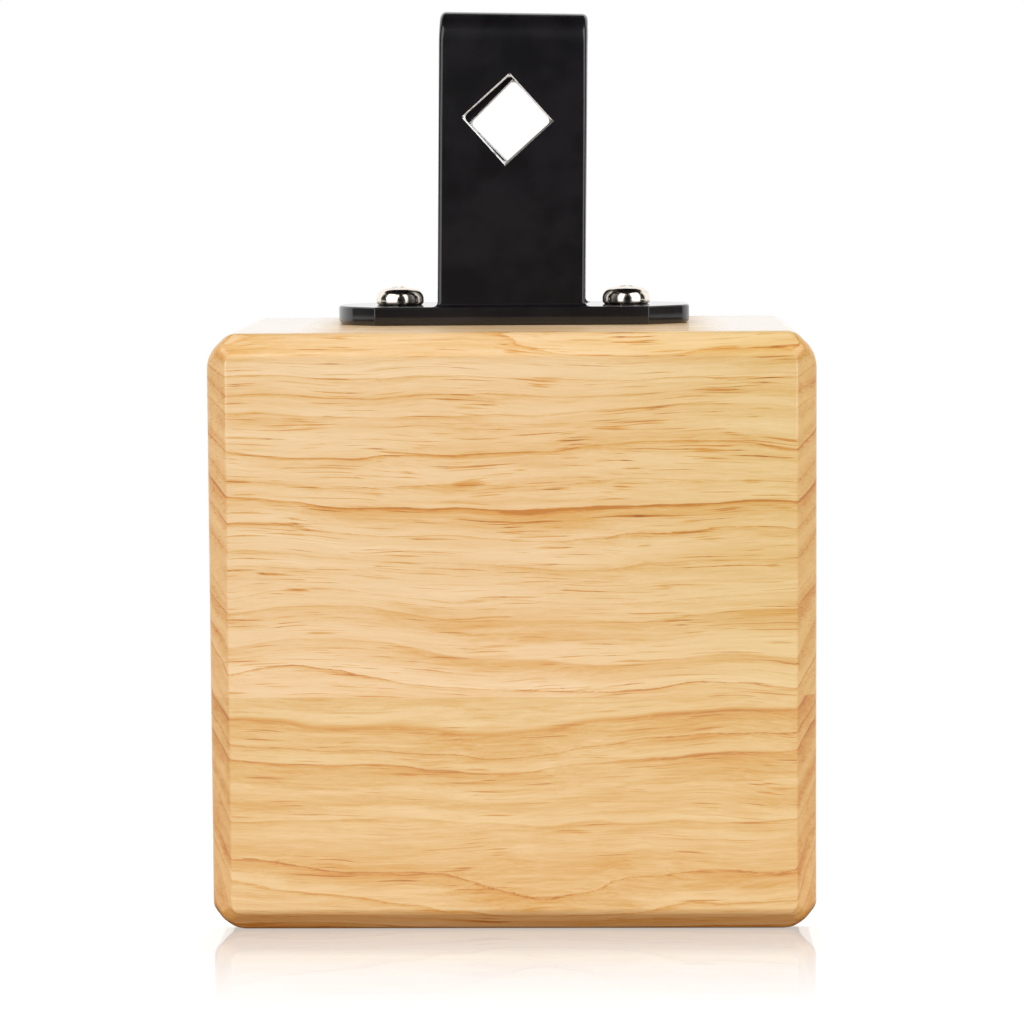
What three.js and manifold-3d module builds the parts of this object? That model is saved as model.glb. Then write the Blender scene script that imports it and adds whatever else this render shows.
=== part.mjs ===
// A temple block: a hollow wooden box that is struck on its front board, with a steel bracket
// on one end that clamps to a stand rod. Millimetres, +Z up. The struck face looks towards -Y,
// and the origin is under the middle of the block, on the end that it stands on.

import * as THREE from "three";
import { mergeVertices } from "three/addons/utils/BufferGeometryUtils.js";
import Module from "manifold-3d";

const wasm = await Module();
wasm.setup();

// Wooden box
const blockWidth = 120;
const blockDepth = 84;
const blockHeight = 118.7;
const edgeChamfer = 4;
const edgeSoftening = 2;
const faceSoftening = 0.8;
const cornerTopSoftening = 1.2;
const cornerSideSoftening = 5;
const strikingBoard = 9;
const backBoard = 11;
const sideWall = 12;
const bracketEndWall = 18;
const mouthEndWall = 12;
const mouthGap = 8;
const strikingSeamHeight = 47;
const backSeamHeight = 66;

// Bracket of steel sheet
const sheet = 3.2;
const plateSheet = 3.8;
const sheetRounding = 0.8;
const bracketSetback = 35.3;
const bracketShift = -0.6;
const plateLength = 73;
const plateDepth = 30;
const plateCornerCut = 8.5;
const plateCornerRounding = 3;
const plateCreaseRounding = 1.2;
const strapWidth = 30;
const strapHeight = 60.2;
const strapBend = 6;
const strapLean = THREE.MathUtils.degToRad(0.7);
const weldLeg = 1.8;

// Square rod holes, standing on a corner
const rodHole = 12.7;
const rodHoleRounding = 0.6;
const rodHoleFlare = 0.5;
const frontHoleHeight = 38.2;
const frontHoleShift = -0.6;
const frontHoleTurn = THREE.MathUtils.degToRad(-3);
const rearHoleHeight = 37.5;
const rearHoleShift = 0.1;
const rearHoleTurn = 0;

// Pan head wood screws
const screwSpacing = 47;
const screwHeadDiameter = 9.9;
const screwHeadHeight = 3.8;
const screwHeadCrown = 0.4;
const screwHeadRounding = 2.2;
const screwHeadUndercut = 0.7;
const screwThread = 4.8;
const screwReach = 15;
const screwTip = 4;
const recessSpan = 5;
const recessSlot = 1;
const recessDepth = 2;
const plateHoleClearance = 0.7;
const pilotClearance = 0.2;

// Rod clamp under the crown of the strap
const clampThread = 8;
const clampScrewLength = 12;
const clampPoint = 1;
const clampKey = 4;
const clampKeyDepth = 4;
const clampSink = 0.1;
const clampNutFlats = 13;
const clampNutHeight = 8;
const clampClearance = 0.3;
const crownHoleClearance = 0.6;

// How far every cutting shape runs past the piece that it cuts
const overrun = 1;

// Sides of round pieces, and steps on the arcs of outlines and edges
const roundSides = 32;
const arcSteps = 2;
const roundingSteps = 3;
const hexSides = 6;

const strikingBack = strikingBoard - blockDepth / 2;
const backFront = blockDepth / 2 - backBoard;
const chamberTop = blockHeight - bracketEndWall;
const bracketFront = bracketSetback - blockDepth / 2;
const strapDepth = plateDepth - 2 * weldLeg;
const crownTop = plateSheet + strapHeight;
const crownUnderside = crownTop - sheet;

const upperStaveWood = { color: 0xe9c694, roughness: 0.32, metalness: 0 };
const lowerStaveWood = { color: 0xe6c088, roughness: 0.32, metalness: 0 };
const wallWood = { color: 0xdcb27a, roughness: 0.35, metalness: 0 };
const blackCoat = { color: 0x211f21, roughness: 0.38, metalness: 0 };
const nickel = { color: 0xcfc8bc, roughness: 0.18, metalness: 1 };
const blackOxide = { color: 0x2c2c2e, roughness: 0.45, metalness: 0.8 };

/** Turns a closed three.js geometry into a solid that can be joined and cut. */
function solidOf(geometry) {
  const bare = geometry.clone();
  bare.deleteAttribute("normal");
  bare.deleteAttribute("uv");
  const merged = mergeVertices(bare);
  return new wasm.Manifold(
    new wasm.Mesh({
      numProp: 3,
      vertProperties: new Float32Array(merged.attributes.position.array),
      triVerts: new Uint32Array(merged.index.array),
    }),
  );
}

/** Turns a solid back into a geometry with a normal on each face. */
function geometryOf(solid) {
  const mesh = solid.getMesh();
  const geometry = new THREE.BufferGeometry();
  geometry.setAttribute("position", new THREE.BufferAttribute(mesh.vertProperties, 3));
  geometry.setIndex(new THREE.BufferAttribute(mesh.triVerts, 1));
  const faceted = geometry.toNonIndexed();
  faceted.computeVertexNormals();
  return faceted;
}

/** A box between two corners. */
function boxBetween(low, high) {
  const size = new THREE.Vector3().subVectors(high, low);
  const middle = new THREE.Vector3().addVectors(low, high).multiplyScalar(0.5);
  const geometry = new THREE.BoxGeometry(size.x, size.y, size.z);
  return geometry.translate(middle.x, middle.y, middle.z);
}

/** An upright cylinder or cone that stands on z = bottom. */
function uprightCylinder(topRadius, bottomRadius, bottom, top, sides = roundSides) {
  const geometry = new THREE.CylinderGeometry(topRadius, bottomRadius, top - bottom, sides);
  return geometry.rotateX(Math.PI / 2).translate(0, 0, (top + bottom) / 2);
}

/** A rectangle whose corners are cut at 45 degrees, with the two ends of each cut rounded. */
function cutCornerRectangle(width, height, chamfer, levelRadius, uprightRadius) {
  const halfTurn = Math.PI / 8;
  const levelRun = levelRadius * Math.tan(halfTurn);
  const uprightRun = uprightRadius * Math.tan(halfTurn);
  const level = { x: width / 2 - chamfer - levelRun, y: height / 2 - levelRadius };
  const upright = { x: width / 2 - uprightRadius, y: height / 2 - chamfer - uprightRun };
  const shape = new THREE.Shape();
  for (let quarter = 0; quarter < 4; quarter++) {
    const signX = quarter === 0 || quarter === 3 ? 1 : -1;
    const signY = quarter < 2 ? 1 : -1;
    const start = (quarter * Math.PI) / 2;
    const arcs = [
      [upright, uprightRadius],
      [level, levelRadius],
    ];
    if (quarter % 2 === 1) arcs.reverse();
    arcs.forEach(([centre, radius], step) => {
      const from = start + (step * Math.PI) / 4;
      shape.absarc(signX * centre.x, signY * centre.y, radius, from, from + Math.PI / 4, false);
    });
  }
  shape.closePath();
  return shape;
}

/** A square with rounded corners, centred on the origin. */
function roundedSquare(side, radius) {
  const reach = side / 2 - radius;
  const shape = new THREE.Shape();
  for (let quarter = 0; quarter < 4; quarter++) {
    const signX = quarter === 0 || quarter === 3 ? 1 : -1;
    const signY = quarter < 2 ? 1 : -1;
    const start = (quarter * Math.PI) / 2;
    shape.absarc(signX * reach, signY * reach, radius, start, start + Math.PI / 2, false);
  }
  shape.closePath();
  return shape;
}

/** A plain prism along Z, centred on the origin. */
function prism(shape, length) {
  const geometry = new THREE.ExtrudeGeometry(shape, {
    depth: length,
    bevelEnabled: false,
    curveSegments: arcSteps,
  });
  return geometry.translate(0, 0, -length / 2);
}

/** A prism along Z, centred on the origin, with its end edges rounded inside its outline. */
function roundedPrism(shape, length, rounding) {
  const geometry = new THREE.ExtrudeGeometry(shape, {
    depth: length - 2 * rounding,
    bevelThickness: rounding,
    bevelSize: rounding,
    bevelOffset: -rounding,
    bevelSegments: roundingSteps,
    curveSegments: arcSteps,
  });
  return geometry.translate(0, 0, rounding - length / 2);
}

/**
 * Whole outside of the block: a box with all twelve edges chamfered and softened. Seen from the
 * front, each corner is sanded more towards the sides than towards the top or the bottom.
 */
function blockEnvelope() {
  const outline = (width, height, levelRadius, uprightRadius) =>
    cutCornerRectangle(width, height, edgeChamfer, levelRadius, uprightRadius);
  const plan = outline(blockWidth, blockDepth, faceSoftening, edgeSoftening);
  const front = outline(blockWidth, blockHeight, cornerTopSoftening, cornerSideSoftening);
  const side = outline(blockDepth, blockHeight, edgeSoftening, edgeSoftening);
  const alongZ = prism(plan, blockHeight + 2 * overrun);
  const alongY = prism(front, blockDepth + 2 * overrun);
  const alongX = prism(side, blockWidth + 2 * overrun);
  alongY.rotateX(Math.PI / 2);
  alongX.rotateX(Math.PI / 2).rotateZ(Math.PI / 2);
  const solid = solidOf(alongZ).intersect(solidOf(alongY)).intersect(solidOf(alongX));
  return solid.translate([0, 0, blockHeight / 2]);
}

const envelope = blockEnvelope();

/** The share of the block's outside that lies in a box, as one board. */
function board(left, front, bottom, right, back, top) {
  const box = boxBetween(new THREE.Vector3(left, front, bottom), new THREE.Vector3(right, back, top));
  return envelope.intersect(solidOf(box));
}

/** Outer bounds of the block, with room past its faces where a board reaches them. */
const past = {
  left: -blockWidth / 2 - overrun,
  right: blockWidth / 2 + overrun,
  front: -blockDepth / 2 - overrun,
  back: blockDepth / 2 + overrun,
  bottom: -overrun,
  top: blockHeight + overrun,
};
const chamberRight = blockWidth / 2 - sideWall;
const mouthBack = strikingBack + mouthGap;

/** Places of the two bracket screws, from the middle of the bracket's front edge. */
const screwPlaces = {
  left: { x: -screwSpacing / 2, y: plateDepth / 2 },
  right: { x: screwSpacing / 2, y: plateDepth / 2 },
};

/** Thick end wall, with a pilot hole for each bracket screw. */
function bracketEnd() {
  let wall = board(past.left, strikingBack, chamberTop, past.right, backFront, past.top);
  const radius = (screwThread + pilotClearance) / 2;
  const bottom = blockHeight - screwReach - pilotClearance;
  for (const place of Object.values(screwPlaces)) {
    const hole = uprightCylinder(radius, radius, bottom, past.top);
    hole.translate(place.x + bracketShift, place.y + bracketFront, 0);
    wall = wall.subtract(solidOf(hole));
  }
  return wall;
}

/** Flat foot of the bracket, lying on z = 0 with its front edge on y = 0. */
function mountingPlate() {
  const outline = cutCornerRectangle(
    plateLength,
    plateDepth,
    plateCornerCut,
    plateCreaseRounding,
    plateCornerRounding,
  );
  const blank = roundedPrism(outline, plateSheet, sheetRounding);
  let plate = solidOf(blank.translate(0, plateDepth / 2, plateSheet / 2));
  const radius = (screwThread + plateHoleClearance) / 2;
  for (const place of Object.values(screwPlaces)) {
    const hole = uprightCylinder(radius, radius, -overrun, plateSheet + overrun);
    plate = plate.subtract(solidOf(hole.translate(place.x, place.y, 0)));
  }
  return plate;
}

/** Side view of the bent strap: front leg, crown and rear leg, standing on the origin. */
function strapProfile() {
  const inner = strapBend - sheet;
  const shoulder = strapHeight - strapBend;
  const shape = new THREE.Shape();
  shape.moveTo(0, 0);
  shape.lineTo(sheet, 0);
  shape.lineTo(sheet, shoulder);
  shape.absarc(strapBend, shoulder, inner, Math.PI, Math.PI / 2, true);
  shape.absarc(strapDepth - strapBend, shoulder, inner, Math.PI / 2, 0, true);
  shape.lineTo(strapDepth - sheet, 0);
  shape.lineTo(strapDepth, 0);
  shape.absarc(strapDepth - strapBend, shoulder, strapBend, 0, Math.PI / 2, false);
  shape.absarc(strapBend, shoulder, strapBend, Math.PI / 2, Math.PI, false);
  shape.closePath();
  return shape;
}

/** Hollow-faced weld along the outside of a leg's foot, drawn for the front leg. */
function weldProfile() {
  const root = sheet / 2;
  const shape = new THREE.Shape();
  shape.moveTo(root, 0);
  shape.lineTo(root, weldLeg);
  shape.lineTo(0, weldLeg);
  shape.absarc(-weldLeg, weldLeg, weldLeg, 0, -Math.PI / 2, true);
  shape.closePath();
  return shape;
}

/** Turns a prism drawn in depth and height into one that runs along X. */
function sideways(geometry) {
  return geometry.rotateX(Math.PI / 2).rotateZ(Math.PI / 2);
}

/** Cutter for one square rod hole through a leg, flared where it breaks each face. */
function rodHoleCutter(shift, height, turn, legFront) {
  const square = roundedSquare(rodHole, rodHoleRounding);
  let cutter = solidOf(prism(square, sheet + 2 * overrun));
  for (const side of [-1, 1]) {
    const wide = roundedSquare(rodHole + 2 * rodHoleFlare, rodHoleRounding + rodHoleFlare);
    const flare = roundedPrism(wide, 2 * rodHoleFlare, rodHoleFlare);
    cutter = cutter.add(solidOf(flare.translate(0, 0, (side * sheet) / 2)));
  }
  const placed = new THREE.Matrix4()
    .makeTranslation(shift, legFront + sheet / 2, height)
    .multiply(new THREE.Matrix4().makeRotationX(Math.PI / 2))
    .multiply(new THREE.Matrix4().makeRotationZ(turn + Math.PI / 4));
  return solidOf(geometryOf(cutter).applyMatrix4(placed));
}

/** Middle of the strap at a height above the plate, which its lean moves along X. */
function leanAt(height) {
  return height * Math.tan(strapLean);
}

/** Bent strap, standing on z = 0 with its front leg's face on y = 0. */
function rodStrap() {
  const bent = sideways(roundedPrism(strapProfile(), strapWidth, sheetRounding));
  let strap = solidOf(bent);
  const weldLength = strapWidth - 2 * sheetRounding;
  const frontWeld = sideways(prism(weldProfile(), weldLength));
  const rearWeld = frontWeld.clone().rotateZ(Math.PI).translate(0, strapDepth, 0);
  strap = strap.add(solidOf(frontWeld)).add(solidOf(rearWeld));
  const lean = new THREE.Matrix4().makeShear(0, 0, 0, 0, Math.tan(strapLean), 0);
  strap = solidOf(geometryOf(strap).applyMatrix4(lean));
  const crownRadius = (clampThread + crownHoleClearance) / 2;
  const crownHole = uprightCylinder(
    crownRadius,
    crownRadius,
    strapHeight - sheet - overrun,
    strapHeight + overrun,
  );
  crownHole.translate(leanAt(strapHeight), strapDepth / 2, 0);
  return strap
    .subtract(rodHoleCutter(frontHoleShift, frontHoleHeight, frontHoleTurn, 0))
    .subtract(rodHoleCutter(rearHoleShift, rearHoleHeight, rearHoleTurn, strapDepth - sheet))
    .subtract(solidOf(crownHole));
}

/** Pan head screw, its head standing on z = 0 and its thread below, with a cross recess. */
function panHeadScrew() {
  const headRadius = screwHeadDiameter / 2;
  const threadRadius = screwThread / 2;
  const reach = screwReach + plateSheet;
  const shoulder = screwHeadHeight - screwHeadCrown;
  const outline = new THREE.Path();
  outline.moveTo(0, -reach);
  outline.lineTo(threadRadius, screwTip - reach);
  outline.lineTo(threadRadius, 0);
  const under = headRadius - screwHeadUndercut;
  outline.lineTo(under, 0);
  outline.absarc(under, screwHeadUndercut, screwHeadUndercut, -Math.PI / 2, 0, false);
  outline.absarc(
    headRadius - screwHeadRounding,
    shoulder - screwHeadRounding,
    screwHeadRounding,
    0,
    Math.PI / 2,
    false,
  );
  outline.quadraticCurveTo((headRadius - screwHeadRounding) / 2, screwHeadHeight, 0, screwHeadHeight);
  const body = new THREE.LatheGeometry(outline.getPoints(roundingSteps), roundSides);
  let screw = solidOf(body.rotateX(Math.PI / 2));
  for (const turn of [0, Math.PI / 2]) {
    const low = new THREE.Vector3(-recessSpan / 2, -recessSlot / 2, screwHeadHeight - recessDepth);
    const high = new THREE.Vector3(recessSpan / 2, recessSlot / 2, screwHeadHeight + overrun);
    screw = screw.subtract(solidOf(boxBetween(low, high).rotateZ(turn)));
  }
  return screw;
}

/** Hexagon nut, hanging from z = 0, with two flats facing the legs of the strap. */
function clampNut() {
  const corner = clampNutFlats / 2 / Math.cos(Math.PI / hexSides);
  const body = uprightCylinder(corner, corner, -clampNutHeight, 0, hexSides);
  const bore = (clampThread + clampClearance) / 2;
  const hole = uprightCylinder(bore, bore, -clampNutHeight - overrun, overrun);
  return solidOf(body.rotateZ(Math.PI / 2)).subtract(solidOf(hole));
}

/** Headless screw with a hexagon socket, hanging from z = 0. */
function clampScrew() {
  const radius = clampThread / 2;
  const outline = [
    new THREE.Vector2(0, -clampScrewLength),
    new THREE.Vector2(radius - clampPoint, -clampScrewLength),
    new THREE.Vector2(radius, clampPoint - clampScrewLength),
    new THREE.Vector2(radius, -clampPoint / 2),
    new THREE.Vector2(radius - clampPoint / 2, 0),
    new THREE.Vector2(0, 0),
  ];
  const body = new THREE.LatheGeometry(outline, roundSides).rotateX(Math.PI / 2);
  const corner = clampKey / 2 / Math.cos(Math.PI / hexSides);
  const socket = uprightCylinder(corner, corner, -clampKeyDepth, overrun, hexSides);
  return solidOf(body).subtract(solidOf(socket));
}

/** A named piece with a finish of its own. */
function piece(name, solid, finish) {
  const mesh = new THREE.Mesh(geometryOf(solid), new THREE.MeshStandardMaterial(finish));
  mesh.name = name;
  return mesh;
}

const templeBlock = new THREE.Group();

const box = new THREE.Group();
box.add(
  piece(
    "striking_board_upper",
    board(past.left, past.front, strikingSeamHeight, past.right, strikingBack, past.top),
    upperStaveWood,
  ),
  piece(
    "striking_board_lower",
    board(past.left, past.front, past.bottom, past.right, strikingBack, strikingSeamHeight),
    lowerStaveWood,
  ),
  piece(
    "back_board_upper",
    board(past.left, backFront, backSeamHeight, past.right, past.back, past.top),
    upperStaveWood,
  ),
  piece(
    "back_board_lower",
    board(past.left, backFront, past.bottom, past.right, past.back, backSeamHeight),
    lowerStaveWood,
  ),
  piece(
    "left_wall",
    board(past.left, strikingBack, past.bottom, -chamberRight, backFront, chamberTop),
    wallWood,
  ),
  piece(
    "right_wall",
    board(chamberRight, strikingBack, past.bottom, past.right, backFront, chamberTop),
    wallWood,
  ),
  piece(
    "mouth_end_wall",
    board(-chamberRight, mouthBack, past.bottom, chamberRight, backFront, mouthEndWall),
    wallWood,
  ),
  piece("bracket_end_wall", bracketEnd(), wallWood),
);
templeBlock.add(box);

const bracket = new THREE.Group();
bracket.position.set(bracketShift, bracketFront, blockHeight);

const plate = piece("mounting_plate", mountingPlate(), blackCoat);
bracket.add(plate);

const strap = piece("rod_strap", rodStrap(), blackCoat);
strap.position.set(0, weldLeg, plateSheet);
bracket.add(strap);

for (const [side, place] of Object.entries(screwPlaces)) {
  const screw = piece("bracket_screw_" + side, panHeadScrew(), nickel);
  screw.position.set(place.x, place.y, plateSheet);
  bracket.add(screw);
}

const clamp = new THREE.Group();
clamp.position.set(leanAt(strapHeight), plateDepth / 2, 0);

const nut = piece("clamp_nut", clampNut(), blackOxide);
nut.position.z = crownUnderside;
clamp.add(nut);

const setScrew = piece("clamp_screw", clampScrew(), blackOxide);
setScrew.position.z = crownTop - clampSink;
clamp.add(setScrew);

bracket.add(clamp);
templeBlock.add(bracket);

export default templeBlock;
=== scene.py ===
"""Dressed model of a wooden temple block with a black rod bracket, on a white studio floor.

The block stands on one end. Its struck board looks towards -Y, and the bracket is screwed to the
end above. Lengths are in metres, and every piece is built where its solid lies in the frame.
"""

import logging
import math
from collections.abc import Callable, Sequence
from dataclasses import dataclass
from enum import Enum
from typing import Any

import bmesh
import bpy
from mathutils import Matrix, Vector


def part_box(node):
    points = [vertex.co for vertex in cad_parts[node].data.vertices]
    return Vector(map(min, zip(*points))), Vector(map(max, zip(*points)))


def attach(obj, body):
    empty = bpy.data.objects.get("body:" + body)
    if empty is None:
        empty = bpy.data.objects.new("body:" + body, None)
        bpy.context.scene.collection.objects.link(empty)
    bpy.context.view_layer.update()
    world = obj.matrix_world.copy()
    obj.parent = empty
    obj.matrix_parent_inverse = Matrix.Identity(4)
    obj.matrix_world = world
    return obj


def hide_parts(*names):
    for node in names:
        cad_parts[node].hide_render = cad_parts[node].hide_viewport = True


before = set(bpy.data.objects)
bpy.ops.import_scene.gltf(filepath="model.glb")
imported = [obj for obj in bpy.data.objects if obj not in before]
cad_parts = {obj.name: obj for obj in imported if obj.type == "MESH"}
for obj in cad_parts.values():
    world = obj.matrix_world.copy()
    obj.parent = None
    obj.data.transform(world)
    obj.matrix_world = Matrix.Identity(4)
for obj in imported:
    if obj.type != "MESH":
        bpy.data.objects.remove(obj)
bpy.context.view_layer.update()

log = logging.getLogger("temple_block")

Range = tuple[float, float]
Triple = tuple[float, float, float]
Colour = Triple
Stops = Sequence[tuple[float, Colour]]
Socket = bpy.types.NodeSocket
Piece = bpy.types.Object

# Lengths less than TINY apart are the same, and points less than MERGED apart are one.
TINY = 1e-5
MERGED = TINY / 10

# Shares of a unit vector along an axis, from which it runs mostly or straight along that axis.
MOSTLY = 0.5
STRAIGHT = 0.9

MILLIMETRES = 1000.0
MEAN_NOISE = 0.5
FULL_TURN = 2 * math.pi
QUARTER_TURN = math.pi / 2
SIXTH_TURN = math.pi / 3
EIGHTH_TURN = math.pi / 4
TWELFTH_TURN = math.pi / 6
SHARP_FROM = math.radians(31)
AXES = (Vector((1, 0, 0)), Vector((0, 1, 0)), Vector((0, 0, 1)))
WHITE = (1.0, 1.0, 1.0)


class Element(Enum):
    """What is picked in edit mode."""

    POINT = "VERT"
    EDGE = "EDGE"
    FACE = "FACE"


class Grain(Enum):
    """The way in which the fibres of a board run."""

    SIDEWAYS = "sideways"
    UPRIGHT = "upright"


class Body(Enum):
    """The bodies that the pieces ride on."""

    BLOCK = "block"
    CLAMP = "clamp"


def middle_of(low: Vector, high: Vector) -> Vector:
    """Point halfway between two corners."""
    return (low + high) / 2


def edge_middle(edge: bmesh.types.BMEdge) -> Vector:
    """Point halfway along an edge."""
    return (edge.verts[0].co + edge.verts[1].co) / 2


def edge_direction(edge: bmesh.types.BMEdge) -> Vector:
    """Unit vector along an edge."""
    return (edge.verts[1].co - edge.verts[0].co).normalized()


def near(value: float, target: float) -> bool:
    """Whether two lengths are the same."""
    return abs(value - target) < TINY


def flat_place(place: Vector) -> Vector:
    """A place moved on to the plane of the struck board's height and width."""
    return Vector((place.x, 0, place.z))


def activate(piece: Piece) -> None:
    """Selects one piece alone and makes it the active one."""
    bpy.ops.object.select_all(action="DESELECT")
    piece.select_set(True)
    bpy.context.view_layer.objects.active = piece


def begin(name: str, add: Callable[..., Any], **settings: Any) -> Piece:
    """Adds a primitive, whose object is brought to the origin with its place in its mesh.

    Args:
        name: Name of the piece.
        add: Adds the primitive.
        settings: Settings of the primitive by name.

    Returns:
        The new piece.
    """
    bpy.ops.object.select_all(action="DESELECT")
    add(**settings)
    piece = bpy.context.active_object
    piece.name = name
    piece.data.name = name
    activate(piece)
    bpy.ops.object.transform_apply(location=True, rotation=True, scale=True)
    return piece


def start_box(name: str, low: Vector, high: Vector) -> Piece:
    """A box between its lowest and its highest corner, to be shaped further."""
    add = bpy.ops.mesh.primitive_cube_add
    return begin(name, add, size=1, location=middle_of(low, high), scale=high - low)


def start_rod(
    name: str, centre: Vector, radius: float, low: float, high: float, sides: int
) -> Piece:
    """An upright cylinder, to be shaped further.

    Args:
        name: Name of the piece.
        centre: Any point on its axis.
        radius: Its radius.
        low: Height of its lower end.
        high: Height of its upper end.
        sides: Number of its sides.

    Returns:
        The new piece.
    """
    add, middle = bpy.ops.mesh.primitive_cylinder_add, (centre.x, centre.y, (low + high) / 2)
    return begin(name, add, vertices=sides, radius=radius, depth=high - low, location=middle)


def start_turned(
    name: str, centre: Vector, outline: Sequence[tuple[float, float]], sides: int
) -> Piece:
    """A turned shape: an outline spun once round an upright axis.

    Args:
        name: Name of the piece.
        centre: Any point on the axis.
        outline: Radius and height of its points, from the foot on the axis to the top on it.
        sides: Number of its sides.

    Returns:
        The new piece.
    """
    points = [Vector((centre.x + radius, centre.y, height)) for radius, height in outline]
    piece = start_line(name, points)
    with Editing(piece) as edit:
        edit.pick_all()
        axis_foot = (centre.x, centre.y, 0)
        bpy.ops.mesh.spin(steps=sides, angle=FULL_TURN, center=axis_foot, axis=(0, 0, 1))
        edit.tidy()
    return piece


def start_line(name: str, points: Sequence[Vector]) -> Piece:
    """A line of edges, drawn from point to point."""
    piece = begin(name, bpy.ops.mesh.primitive_plane_add, size=1, location=points[0])
    with Editing(piece) as edit:
        edit.pick(Element.POINT, lambda _point: True)
        bpy.ops.mesh.merge(type="CENTER")
        for here, there in zip(points, points[1:]):
            bpy.ops.mesh.extrude_vertices_move(TRANSFORM_OT_translate={"value": there - here})
    return piece


def copy_of(piece: Piece, name: str) -> Piece:
    """A copy of a piece with a mesh of its own."""
    activate(piece)
    bpy.ops.object.duplicate(linked=False)
    copy = bpy.context.active_object
    copy.name = name
    copy.data.name = name
    return copy


def discard(piece: Piece) -> None:
    """Removes a piece that has done its work."""
    activate(piece)
    bpy.ops.object.delete()


def dress(piece: Piece, material: bpy.types.Material) -> None:
    """Gives a piece one material."""
    piece.data.materials.clear()
    piece.data.materials.append(material)


def apply_modifier(piece: Piece, kind: str, **settings: Any) -> None:
    """Adds a modifier of a kind to a piece, with its settings by name, and applies it."""
    activate(piece)
    modifier = piece.modifiers.new(kind.title(), kind)
    for name, value in settings.items():
        setattr(modifier, name, value)
    bpy.ops.object.modifier_apply(modifier=modifier.name)


def carve(piece: Piece, tool: Piece, operation: str = "DIFFERENCE") -> None:
    """Cuts a piece with a tool, which is used up: a DIFFERENCE, INTERSECT or UNION of the two."""
    apply_modifier(piece, "BOOLEAN", object=tool, operation=operation, solver="EXACT")
    discard(tool)


def smooth(piece: Piece) -> None:
    """Shades a piece smoothly but for its sharp edges, and keeps its flats flat."""
    activate(piece)
    bpy.ops.object.shade_smooth_by_angle(angle=SHARP_FROM)
    apply_modifier(piece, "WEIGHTED_NORMAL", mode="FACE_AREA", weight=50, keep_sharp=True)


class Editing:
    """Edit mode on one piece, in which points, edges and faces are picked by their place."""

    def __init__(self, piece: Piece) -> None:
        """Keeps the piece that will be edited."""
        self.piece = piece

    def __enter__(self) -> "Editing":
        """Enters edit mode with nothing selected."""
        activate(self.piece)
        bpy.ops.object.mode_set(mode="EDIT")
        bpy.ops.mesh.select_all(action="DESELECT")
        return self

    def __exit__(self, *_error: object) -> None:
        """Leaves edit mode."""
        bpy.ops.object.mode_set(mode="OBJECT")

    def pick(self, kind: Element, test: Callable[[Any], bool]) -> None:
        """Selects exactly the points, edges or faces that pass a test."""
        bpy.ops.mesh.select_mode(type=kind.value)
        bpy.ops.mesh.select_all(action="DESELECT")
        mesh = bmesh.from_edit_mesh(self.piece.data)
        sets = {Element.POINT: mesh.verts, Element.EDGE: mesh.edges, Element.FACE: mesh.faces}
        for element in [element for element in sets[kind] if test(element)]:
            element.select_set(True)
        bmesh.update_edit_mesh(self.piece.data)

    def pick_all(self) -> None:
        """Selects the whole mesh."""
        bpy.ops.mesh.select_all(action="SELECT")

    def saw(self, point: Vector, normal: Vector) -> None:
        """Cuts off and closes all that lies past a plane, whose normal points to the waste."""
        self.pick_all()
        bpy.ops.mesh.bisect(
            plane_co=point, plane_no=normal, use_fill=True, clear_outer=True, threshold=MERGED
        )

    def score(self, point: Vector, normal: Vector) -> None:
        """Draws a line of edges along a plane through what is selected."""
        bpy.ops.mesh.bisect(plane_co=point, plane_no=normal, threshold=MERGED)

    def bevel(self, width: float, segments: int) -> None:
        """Bevels the selected edges."""
        bpy.ops.mesh.bevel(offset=width, segments=segments, affect="EDGES")

    def extrude(self, shift: Vector) -> None:
        """Extrudes the selected faces by a shift."""
        bpy.ops.mesh.extrude_region_move(TRANSFORM_OT_translate={"value": shift})

    def tidy(self) -> None:
        """Merges doubled points and turns every face outwards."""
        self.pick_all()
        bpy.ops.mesh.remove_doubles(threshold=MERGED)
        bpy.ops.mesh.normals_make_consistent(inside=False)


def weigh_edges(
    piece: Piece, width_of: Callable[[Vector, Vector, Any], float], most: float
) -> None:
    """Writes the width that each edge will be bevelled to.

    Args:
        piece: The piece whose edges are weighed.
        width_of: Gives an edge's width from its middle, its direction and the edge itself.
        most: The largest of these widths.
    """
    mesh = bmesh.new()
    mesh.from_mesh(piece.data)
    layers, name = mesh.edges.layers.float, "bevel_weight_edge"
    layer = layers.get(name) or layers.new(name)
    for edge in mesh.edges:
        edge[layer] = width_of(edge_middle(edge), edge_direction(edge), edge) / most
    mesh.to_mesh(piece.data)
    mesh.free()


def soften(piece: Piece, most: float, segments: int) -> None:
    """Rounds every edge of a piece to the width that was written for it."""
    apply_modifier(
        piece,
        "BEVEL",
        width=most,
        segments=segments,
        limit_method="WEIGHT",
        offset_type="OFFSET",
        use_clamp_overlap=False,
    )


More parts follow.
